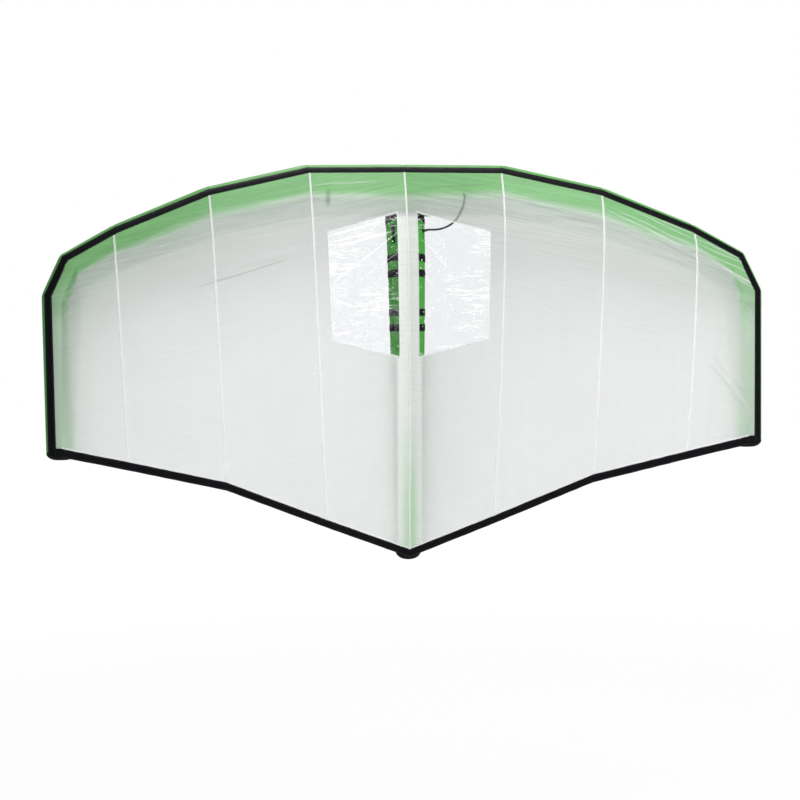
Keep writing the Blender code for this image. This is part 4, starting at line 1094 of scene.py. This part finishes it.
def make_border(side, word):
    """White tape round the clear window."""
    (low, high), (a, b) = WINDOW_SIDES, WINDOW_ROWS
    rise = np.linspace(0, 1, 40)
    full, none = rise * 0 + 1, rise * 0
    round_u = np.concatenate([rise, full, 1 - rise, none])
    round_t = np.concatenate([none, rise, full, 1 - rise])
    loops = []
    for inset in (-0.55, 0.55):
        du, dt, step = inset * 0.012, inset * 0.0045, 0.002
        u, t = between(low + du, high - du, round_u), between(a + dt, b - dt, round_t)
        v = chord_share(0, u, t)
        p = canopy_point(0, u, v)
        normal = facing(canopy_point(0, u + step, v) - p, canopy_point(0, u, v + step) - p, CANOPY_UP)
        height = wrinkle(p, v, side) + 0.0018
        loops.append(clear_of_tubes(p + normal * col(height), 0.0028))
    points = mirror(np.stack(loops), side)
    made = grid_object(f"window_border_{word}", points, pair(arc(points, 1), [[0.0], [0.008]]))
    finish_piece(made, "tape")


def make_hem(side, word):
    """Black webbing along the trailing edge and the white tape beside it."""
    u = np.linspace(0, 1, 36)
    edge, before = (
        np.concatenate([*(canopy_point(panel, u[:-1], v) for panel in range(3)), canopy_point(3, u, v)])
        for v in (1.0, 0.985)
    )
    down = unit(edge - before)
    normal = facing(np.gradient(edge, axis=0), down, CANOPY_UP)
    drop = down / np.abs(down[:, 2:3])
    ripple = 0.0012 * np.sin(edge[:, 0] * 60 + 2 * np.sin(edge[:, 0] * 17))
    centre = edge + drop * (HEM_WIDTH / 2 + 0.0006) + normal * col(ripple)
    hem, tape = ([mirror(part, side) for part in (line, drop, normal)] for line in (centre, edge - drop * 0.0045))
    made = ribbon(f"hem_{word}", *hem, HEM_WIDTH + 0.004, 0.0014, 0.0010, 8)
    finish_piece(made, "band", f"trailing_hem_{word}")
    finish_piece(ribbon(f"hem_tape_{word}", *tape, 0.0075, 0.0018, TAPE_CROWN, 3), "tape")


def make_hem_end(side, word):
    """The hem's end, wrapped round the tip tube up to the black band."""
    station = np.linspace(TE_TIP_STATION - 0.003, LAST - 0.002, 6)[:, None]
    low = band_start(station) + BAND_WIDTH / LE.radius(station) - 0.05
    angle = between(low, leave_angle(station) + 0.10, np.linspace(0, 1, 9))
    lifts = (LAY_GAP + 0.0024, LAY_GAP + 0.0004)
    finish_piece(laid(f"hem_end_{word}", LE, station, angle, lifts, side, to_edge=0.02), "band")


# Tubes


def ring_angles(sides):
    return np.arange(sides) * 2 * math.pi / sides


def tube_object(name, tube, stations, angles, radial, to_seam, side=1):
    """Round cloth tube with a UV map in metres; radial gives what is added to its radius."""
    points = mirror(tube.point(stations, angles, radial), side)
    metres = pair(tube.metres(stations), tube.radius(stations) * angles)
    return grid_object(name, points[:, ::side], metres, closed=True, to_seam=to_seam)


def pucker(to_seam, angle, seed):
    """Cloth drawn in beside a sewn joint, with small gathers that fade away from it."""
    gathers = np.abs(value_noise(angle * 9.0, to_seam / 0.03, seed)) * np.exp(-to_seam / 0.030)
    return -0.0016 * np.exp(-(to_seam / 0.0045) ** 2) - 0.0022 * gathers


def cut_valve_hole(made):
    """Round hole for the valve's flange in the cloth of the left inner length."""
    out = unit(np.array(VALVE_OUT))
    start, run = mirror(LE.centre[0], -1), mirror(LE.direction(0), -1)

    def beside(vert):
        away = np.array(vert.co) - VALVE_FOOT
        depth = away.dot(out)
        return away - out * depth if depth > -0.05 else np.ones(3)

    with edited(made) as bm:
        covered = [vert for vert in bm.verts if norm(beside(vert)) < VALVE_HOLE - 0.0035]
        bmesh.ops.delete(bm, geom=covered, context="VERTS")
        for vert in bm.verts:
            away = beside(vert)
            if vert.is_boundary and norm(away) < VALVE_HOLE + 0.012:
                old = np.array(vert.co) - start
                new = old + away * (VALVE_HOLE / norm(away) - 1)
                across = new - run * new.dot(run)
                arm = norm(old - run * old.dot(run))
                vert.co = start + new + across * (arm / norm(across) - 1)


def make_segment(index, side, word):
    """One straight length of the leading edge, drawn in at both joints."""
    length = LE.along[index + 1] - LE.along[index]
    t = np.linspace(0, 1, max(12, int(length / RING_STEP)))[:, None]
    t = np.clip(t, SEAM_GAP / length, 1 - SEAM_GAP / length)
    to_seam = np.minimum(t, 1 - t) * length
    angles = ring_angles(TUBE_SIDES)
    radial = pucker(to_seam, angles, 5 * index + (2 if side > 0 else 4))
    made = tube_object(f"tube_{word}_{index + 1}", LE, index + t, angles, radial, to_seam, side)
    if side < 0 and index == 0:
        cut_valve_hole(made)
    finish_piece(made, "tube", f"le_segment_{word}_{index + 1}")


def laid(name, tube, stations, angles, lifts, side=1, **more):
    """Webbing on a tube: a closed shell between an upper and a lower height over it."""
    outer, inner = (mirror(tube.point(stations, angles, lift), side) for lift in lifts)
    return grid_object(name, outer, inner=inner, **more)


def make_band(side, word):
    """Black webbing over the seam of canopy and tube."""
    counts = np.maximum(6, (np.diff(LE.along) / 0.02).astype(int))
    stations = np.concatenate([i + np.arange(n) / n for i, n in enumerate(counts)] + [[LAST - 0.001]])[:, None]
    stations[0] = 0.0008
    k = np.linspace(0, 1, 11)
    angle = band_start(stations) + BAND_WIDTH / LE.radius(stations) * k
    crown = 0.0009 * (1 - (2 * k - 1) ** 2) ** 0.7
    lifts = (LAY_GAP + 0.0007 + crown, LAY_GAP + 0.0002)
    metres = pair(LE.metres(stations), k * BAND_WIDTH)
    to_edge = np.minimum(k, 1 - k) * BAND_WIDTH
    made = laid(f"edge_band_{word}", LE, stations, angle, lifts, side, metres=metres, to_edge=to_edge)
    finish_piece(made, "band", f"le_seam_band_{word}")


def dome(name, ring, centre, axis, depth, flat_share):
    """Domed cap grown from a ring of points, flat in its middle."""
    turn = np.linspace(0, math.pi / 2, 14)
    size = np.append(between(flat_share, 1, np.cos(turn)), flat_share * np.array((0.7, 0.35, 0.02)))
    rise = np.append(np.sin(turn), np.ones(3)) * depth
    points = centre + (ring - centre) * size[:, None, None] + axis * rise[:, None, None]
    to_edge = arc(points, 0)
    metres = pair(to_edge, np.linspace(0, 0.3, len(ring)))
    return grid_object(name, points, metres, closed=True, to_edge=to_edge)


def make_tip_cap(side, word):
    station = LAST - 0.012
    ring = LE.point(station, ring_angles(48), 0.0003)
    parts = [mirror(part, side) for part in (ring, LE.axis_point(station), LE.direction(LAST - 1))]
    depth = 0.022 + 0.012 * (LE.along[LAST] - LE.along[LAST - 1])
    finish_piece(dome(f"tip_end_{word}", *parts, depth, 0.3), "cap", f"tip_cap_{word}")


# Strut


def strut_station(drop):
    """Station on the strut at a drop below the leading edge's middle."""
    depth = CENTRE[2] - drop
    z = STRUT.centre[:, 2]
    low = min(int(np.sum(z > depth)) - 1, STRUT_END - 1)
    return low + (z[low] - depth) / (z[low] - z[low + 1])


def make_strut():
    """The strut's cloth tube, open where it meets the leading edge, and its black end."""
    stations = np.linspace(0.2, STRUT_END, 280)[:, None]
    angles = ring_angles(TUBE_SIDES)
    end = STRUT.along[-1] - STRUT.metres(stations)
    quilt = -0.0008 * np.abs(value_noise(angles * 2.5, STRUT.metres(stations) / 0.05, 77))
    made = tube_object("strut_tube", STRUT, stations, angles, pucker(end, angles, 90) + quilt, end)
    run = LE.direction(0)
    with edited(made) as bm:
        off = np.array([(abs(x), y, z) for x, y, z in (vert.co for vert in bm.verts)]) - LE.centre[0]
        covered = norm(off - run * col(off @ run)) < LE_CENTRE_RADIUS - 0.006
        bmesh.ops.delete(bm, geom=[bm.verts[i] for i in np.flatnonzero(covered)], context="VERTS")
    finish_piece(made, "strut", "strut_sleeve")
    ring = STRUT.point(STRUT_END - 0.02, ring_angles(64), 0.0004)
    axis = facing(X_AXIS, STRUT.across[-1], -Z_AXIS)
    flat_share = STRUT_CAP_FLAT / 2 / STRUT.radii[-1]
    made = dome("strut_end", ring, STRUT.centre[-1] - axis * 0.0003, axis, STRUT_CAP_DEPTH, flat_share)
    finish_piece(made, "cap", "strut_end_cap")


def make_bladders():
    """Air bladders inside the cloth tubes, seen only at the valve."""
    for name, tube, low, high, count, side, nodes in (
        ("bladder_left", LE, 0.02, LAST - 0.02, 90, -1, []),
        ("bladder_right", LE, 0.02, LAST - 0.02, 90, 1, ["le_bladder"]),
        ("bladder_strut", STRUT, 2.2, STRUT_END - 0.5, 60, 1, ["strut_bladder"]),
    ):
        stations = np.linspace(low, high, count)[:, None]
        made = tube_object(name, tube, stations, ring_angles(32), -BLADDER_DEPTH, 0.1, side)
        finish_piece(made, "bladder", *nodes)


# Hand loops


def strut_band(name, top, bottom, angles, lift, thickness, closed=False):
    """Webbing laid on the strut between two drops, over a range of angles or all round."""
    top, bottom = strut_station(top), strut_station(bottom)
    bends = [float(t) for t in range(math.ceil(top + 0.01), math.ceil(bottom - 0.01))]
    stations = np.sort(np.append(np.linspace(top, bottom, 12), bends))[:, None]
    width = STRUT.metres(bottom) - STRUT.metres(top)
    share = (stations - top) / (bottom - top)
    crown = 0.0005 * (1 - (2 * share - 1) ** 2)
    metres = pair(share * width, STRUT.radius(stations) * angles)
    to_edge = np.minimum(share, 1 - share) * width
    if not closed:
        metres = metres[..., ::-1]
        reach = np.minimum(angles - angles[0], angles[-1] - angles)
        to_edge = np.minimum(to_edge, reach * STRUT.radius(stations))
    lifts = (lift + thickness + crown, lift)
    return laid(name, STRUT, stations, angles, lifts, metres=metres, closed=closed, to_edge=to_edge)


def strut_frame(drop, angle, lift):
    """Point on the strut with the directions along it and out of it."""
    station = strut_station(drop)
    before, point, after = (STRUT.point(station + step, angle, lift) for step in (-0.02, 0, 0.02))
    run = unit(after - before)
    outward = point - STRUT.axis_point(station)
    return point, run, unit(outward - run * outward.dot(run))


def cap_ends(made, cols):
    """Closes both ends of a tube of rings."""
    with edited(made) as bm:
        bm.faces.new(bm.verts[:cols][::-1])
        bm.faces.new(bm.verts[-cols:])
        bmesh.ops.recalc_face_normals(bm, faces=bm.faces)
    return made


def box_strap(name, path, width_axis, width, thick):
    """Flat strap along a path of points: rounded rectangle swept with its width along one axis."""
    turn = ring_angles(20)
    c, s = np.cos(turn), np.sin(turn)
    aside, high = np.sign(c) * np.abs(c) ** 0.35 * width / 2, np.sign(s) * np.abs(s) ** 0.6 * thick / 2
    out = unit(np.cross(width_axis, unit(np.gradient(path, axis=0))))
    points = path[:, None] + width_axis * col(aside) + out[:, None] * col(high)
    across = aside + width / 2
    metres = pair(arc(path[:, None], 0), across)
    to_edge = np.minimum(across, width - across)
    return cap_ends(grid_object(name, points, metres, closed=True, to_edge=to_edge), len(turn))


def tab(name, foot, run, out, tall, power, width_axis, width):
    """Webbing tab that stands on its two ends and holds the end of a hand loop."""
    t = np.linspace(0, math.pi, 15)
    line = foot + run * col(np.cos(t) * TAB_LENGTH * 0.32) + out * col(np.sin(t) ** power * tall)
    return box_strap(name, line, width_axis, width, TAB_WEBBING)


def make_harness(index):
    """Two webbing bands, the patch between them and the tabs that hold the hand loop."""
    top = FIRST_BAND_DROP + HANDLE_STEP * index
    bottom = top + HANDLE_SPAN
    half, lap, reach = STRUT_BAND_WIDTH / 2, 0.002, CELL * 1.45
    name = f"harness_{index + 1}"
    made, *others = (
        strut_band(name, drop - half, drop + half, ring_angles(TUBE_SIDES), 0.0004, HARNESS_WALL, closed=True)
        for drop in (top, bottom)
    )
    angles = np.linspace(math.pi - reach, math.pi + reach, 18)
    others.append(strut_band("patch", top + half - lap, bottom - half + lap, angles, 0.0002, 0.0007))
    for drop in (top + half - TAB_LENGTH / 2, bottom - half + TAB_LENGTH / 2):
        place = strut_frame(drop, math.pi, LAY_GAP + HARNESS_WALL)
        others.append(tab("tab", *place, (HANDLE_AXIS_HEIGHT + 0.009) * 0.96, 0.6, X_AXIS, 0.020))
    join(made, others)
    finish_piece(made, "strap", f"handle_harness_{index + 1}")


def make_hand_loop(name, start, end, outward):
    """Webbing strap through a padded, stitched grip."""
    run = unit(end - start)
    outward = unit(outward - run * outward.dot(run))
    side = np.cross(run, outward)
    t = np.linspace(0, 1, 81)
    span = norm(end - start) - 2 * HANDLE_END_GAP
    height = HANDLE_RISE * smooth_step(np.minimum(t, 1 - t) / 0.3)
    path = start + run * HANDLE_END_GAP + run * col(t * span) + outward * col(height)
    strap = box_strap(f"{name}_strap", path, side, *HANDLE_STRAP)
    finish_piece(strap, "strap", body=f"{name}_body")
    path = path[(t > GRIP_FROM) & (t < GRIP_TO)]
    s = np.linspace(0, 1, len(path))[:, None]
    swell = inside(s, 0.10) ** 0.5
    up = unit(np.cross(side, unit(np.gradient(path, axis=0))))
    turn = ring_angles(40)
    welt = 1 + 0.05 * np.exp(-((turn - math.pi * 1.5) / 0.12) ** 2)
    dimple = 1 - 0.02 * (1 + np.cos(s * 2 * math.pi * 5))
    wide = np.cos(turn) * between(*GRIP_WIDE, swell) * dimple
    thick = np.sin(turn) * between(*GRIP_THICK, swell) * welt * dimple
    points = path[:, None] + side * col(wide) + up[:, None] * col(thick)
    metres = pair(arc(points, 0), turn * 0.015)
    grip = cap_ends(grid_object(f"{name}_grip", points, metres, closed=True, to_edge=0.02), len(turn))
    finish_piece(grip, "grip", name, body=f"{name}_body")


def make_strut_handle(index):
    """Harness and hand loop at one place on the strut."""
    make_harness(index)
    top = FIRST_BAND_DROP + HANDLE_STEP * index + STRUT_BAND_WIDTH / 2
    lift = LAY_GAP + HARNESS_WALL + HANDLE_AXIS_HEIGHT
    ends = (STRUT.point(strut_station(d), math.pi, lift) for d in (top, top + HANDLE_SPAN - STRUT_BAND_WIDTH))
    make_hand_loop(f"handle_{index + 1}", *ends, Y_AXIS)


def make_front_handle():
    """Hand loop at the middle of the leading edge, with its patch and tabs."""
    middle = CENTRE + Y_AXIS * (LE_CENTRE_RADIUS + LAY_GAP + HARNESS_WALL + HANDLE_AXIS_HEIGHT)
    half = X_AXIS * FRONT_HANDLE_SPAN / 2
    outward = Y_AXIS * math.cos(FRONT_HANDLE_DROOP) - Z_AXIS * math.sin(FRONT_HANDLE_DROOP)
    make_hand_loop("front_handle", middle - half, middle + half, outward)
    reach = FRONT_HANDLE_SPAN / 2 + TAB_LENGTH + FRONT_PATCH_MARGIN
    edge = reach / LE.point(1.0, -math.pi / 2, LAY_GAP)[0]
    angles = np.linspace(-1.5, 1.5, 17) * CELL - math.pi / 2
    stations = np.linspace(-edge, edge, 61)[:, None]
    flip = np.where(stations < 0, -1, 1)[..., None] ** np.array((1, 0, 0))
    points, inner = (LE.point(np.abs(stations), angles, lift) * flip for lift in (LAY_GAP + HARNESS_WALL, 0.0001))
    down, along = arc(points, 0), arc(points, 1)
    to_edge = np.minimum(np.minimum(down, down[-1:] - down), np.minimum(along, along[:, -1:] - along))
    made = grid_object("front_patch", points, pair(down, along), inner=inner, to_edge=to_edge)
    sunk, tall = 0.018, 0.040
    centre = CENTRE + Y_AXIS * (LE_CENTRE_RADIUS - sunk)
    feet = (centre + X_AXIS * way * (FRONT_HANDLE_SPAN + TAB_LENGTH) / 2 for way in (-1, 1))
    join(made, [tab("tab", foot, X_AXIS, Y_AXIS, tall, 0.5, Z_AXIS, 0.022) for foot in feet])
    finish_piece(made, "strap", "front_handle_patch")


def make_leash_loop():
    foot, along, outward = loop_frame(LE)
    half = (LOOP_OPENING + LOOP_WEBBING) / 2
    straight = LOOP_OPENING + LOOP_WEBBING * 1.5 - half
    t = np.linspace(math.pi, 0, 24)
    arch = foot + along * col(np.cos(t) * half) + outward * col(straight + np.sin(t) * half)
    leg = foot + outward * col(np.linspace(0.0022, straight, 6)[:-1])
    under = foot + along * col(np.linspace(0.8, -0.8, 6) * half) + outward * 0.0014
    path = np.concatenate([leg - along * half, arch, (leg + along * half)[::-1], under])
    finish_piece(box_strap("leash_webbing", path, X_AXIS, LOOP_WIDTH, LOOP_WEBBING * 0.92), "strap", "leash_loop")


# Hose


def curved_through(points, steps):
    """Smooth curve through points, with steps between each two."""
    p = np.concatenate([2 * points[:1] - points[1:2], points, 2 * points[-1:] - points[-2:-1]])
    t = np.linspace(0, 1, steps, endpoint=False)[:, None]
    parts = [
        0.5 * (2 * b + (c - a) * t + (2 * a - 5 * b + 4 * c - d) * t**2 + (3 * b - a - 3 * c + d) * t**3)
        for a, b, c, d in zip(p, p[1:], p[2:], p[3:])
    ]
    return np.concatenate([*parts, points[-1:]])


def make_hose():
    """The hose on its route, its small kinks evened out."""
    route = curved_through(HOSE_ROUTE, 5)
    for _ in range(14):
        route[1:-1] = (route[:-2] + 2 * route[1:-1] + route[2:]) / 4
    curve = bpy.data.curves.new("hose_line", "CURVE")
    curve.dimensions = "3D"
    curve.bevel_depth = HOSE_RADIUS
    curve.bevel_resolution = 5
    curve.use_fill_caps = True
    spline = curve.splines.new("POLY")
    spline.points.add(len(route) - 1)
    spline.points.foreach_set("co", np.insert(route, 3, 1, axis=1).reshape(-1))
    spline.use_smooth = True
    made = placed("hose_line", curve)
    finish_piece(made, "rubber", "hose")
    length = float(norm(np.diff(route, axis=0)).sum())


# Stage


def add_area(name, place, target, size, power):
    light = bpy.data.lights.new(name, "AREA")
    light.shape = "DISK"
    light.size = size
    light.energy = power
    item = placed(name, light)
    item.location = place
    item.rotation_euler = (Vector(target) - Vector(place)).to_track_quat("-Z", "Y").to_euler()


def make_stage():
    """Pale floor, white surroundings and three soft lights."""
    scene = bpy.context.scene
    scene.view_settings.view_transform = "Standard"
    scene.world = bpy.data.worlds.new("studio")
    look = Look(scene.world, "OutputWorld")
    seen = look.add("LightPath", "Is Camera Ray").at_least(look.add("LightPath", "Is Transmission Ray"))
    fill = look.add("Background", Color=(0.96, 0.98, 1.0), Strength=0.30)
    look.surface(look.mix(seen, fill, look.add("Background", Color=grey(1.0))))

    mesh = bpy.data.meshes.new("floor")
    reach, depth = 60.0, -3.3
    corners = [(x * reach, y * reach, depth) for x, y in ((-1, -1), (1, -1), (1, 1), (-1, 1))]
    mesh.from_pydata(corners, [], [(0, 1, 2, 3)])
    floor = placed("floor", mesh)
    look = material("floor_paint")
    paint = look.add("BsdfDiffuse", Color=look.blend(look.cloud(0.8), grey(0.93), grey(0.96)))
    white = look.add("Emission", Color=grey(1.0), Strength=1.04)
    away = look.add("VectorMath", "Value", operation="LENGTH", i0=look.place())
    share = look.add("LightPath", "Is Camera Ray") * look.ramp(away, 4.0, 11.0, 0.88, 1.0)
    mesh.materials.append(look.surface(look.mix(share, paint, white)))

    add_area("overhead", (1.1, -2.8, 3.4), (0.2, 0, -0.7), 2.6, 132)
    add_area("front", (2.6, -6.4, -1.4), (0.3, 0, -0.8), 4.5, 160)
    add_area("back_top", (-0.3, 2.4, 3.4), (0, 0, -0.3), 3.0, 104)


def make_camera():
    """The photograph's camera, fitted to the outline's corners."""
    camera = bpy.data.cameras.new("camera")
    item = placed("camera", camera)
    camera.sensor_width = 36.0
    focal_pixels, picture_pixels = 1201.5, 800
    camera.lens = focal_pixels / picture_pixels * camera.sensor_width
    camera.clip_end = 100
    item.location = (-0.5578, -5.7, -1.0417)
    yaw, pitch, roll = (math.radians(a) for a in (-5.432, -0.378, 0.848))
    turn = Matrix.Rotation(yaw, 3, "Z") @ Matrix.Rotation(pitch, 3, "X") @ Matrix.Rotation(roll, 3, "Y")
    item.rotation_euler = (turn @ Matrix.Rotation(math.pi / 2, 3, "X")).to_euler()
    bpy.context.scene.camera = item


def dress_nodes():
    """Materials for the CAD nodes that are shown as they are."""
    for kind, nodes in (
        ("plastic", ("valve_base", "valve_poppet", "valve_cap", "hose_fitting_le", "hose_fitting_strut")),
        ("metal", ("strut_zip_slider", "le_zip_slider")),
        ("strap", ("strut_zip", "le_zip")),
    ):
        for node in nodes:
            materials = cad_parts[node].data.materials
            materials.clear()
            materials.append(looks[kind][0])


make_camera()
make_hose()
make_stage()
for side, word in ((-1, "left"), (1, "right")):
    for panel in range(4):
        make_panel(panel, side, word)
    for make in (make_window, make_seam_tapes, make_border, make_hem, make_hem_end, make_band):
        make(side, word)
    for index in range(LAST):
        make_segment(index, side, word)
    make_tip_cap(side, word)
make_strut()
make_bladders()
for index in range(HANDLES):
    make_strut_handle(index)
make_front_handle()
make_leash_loop()
dress_nodes()
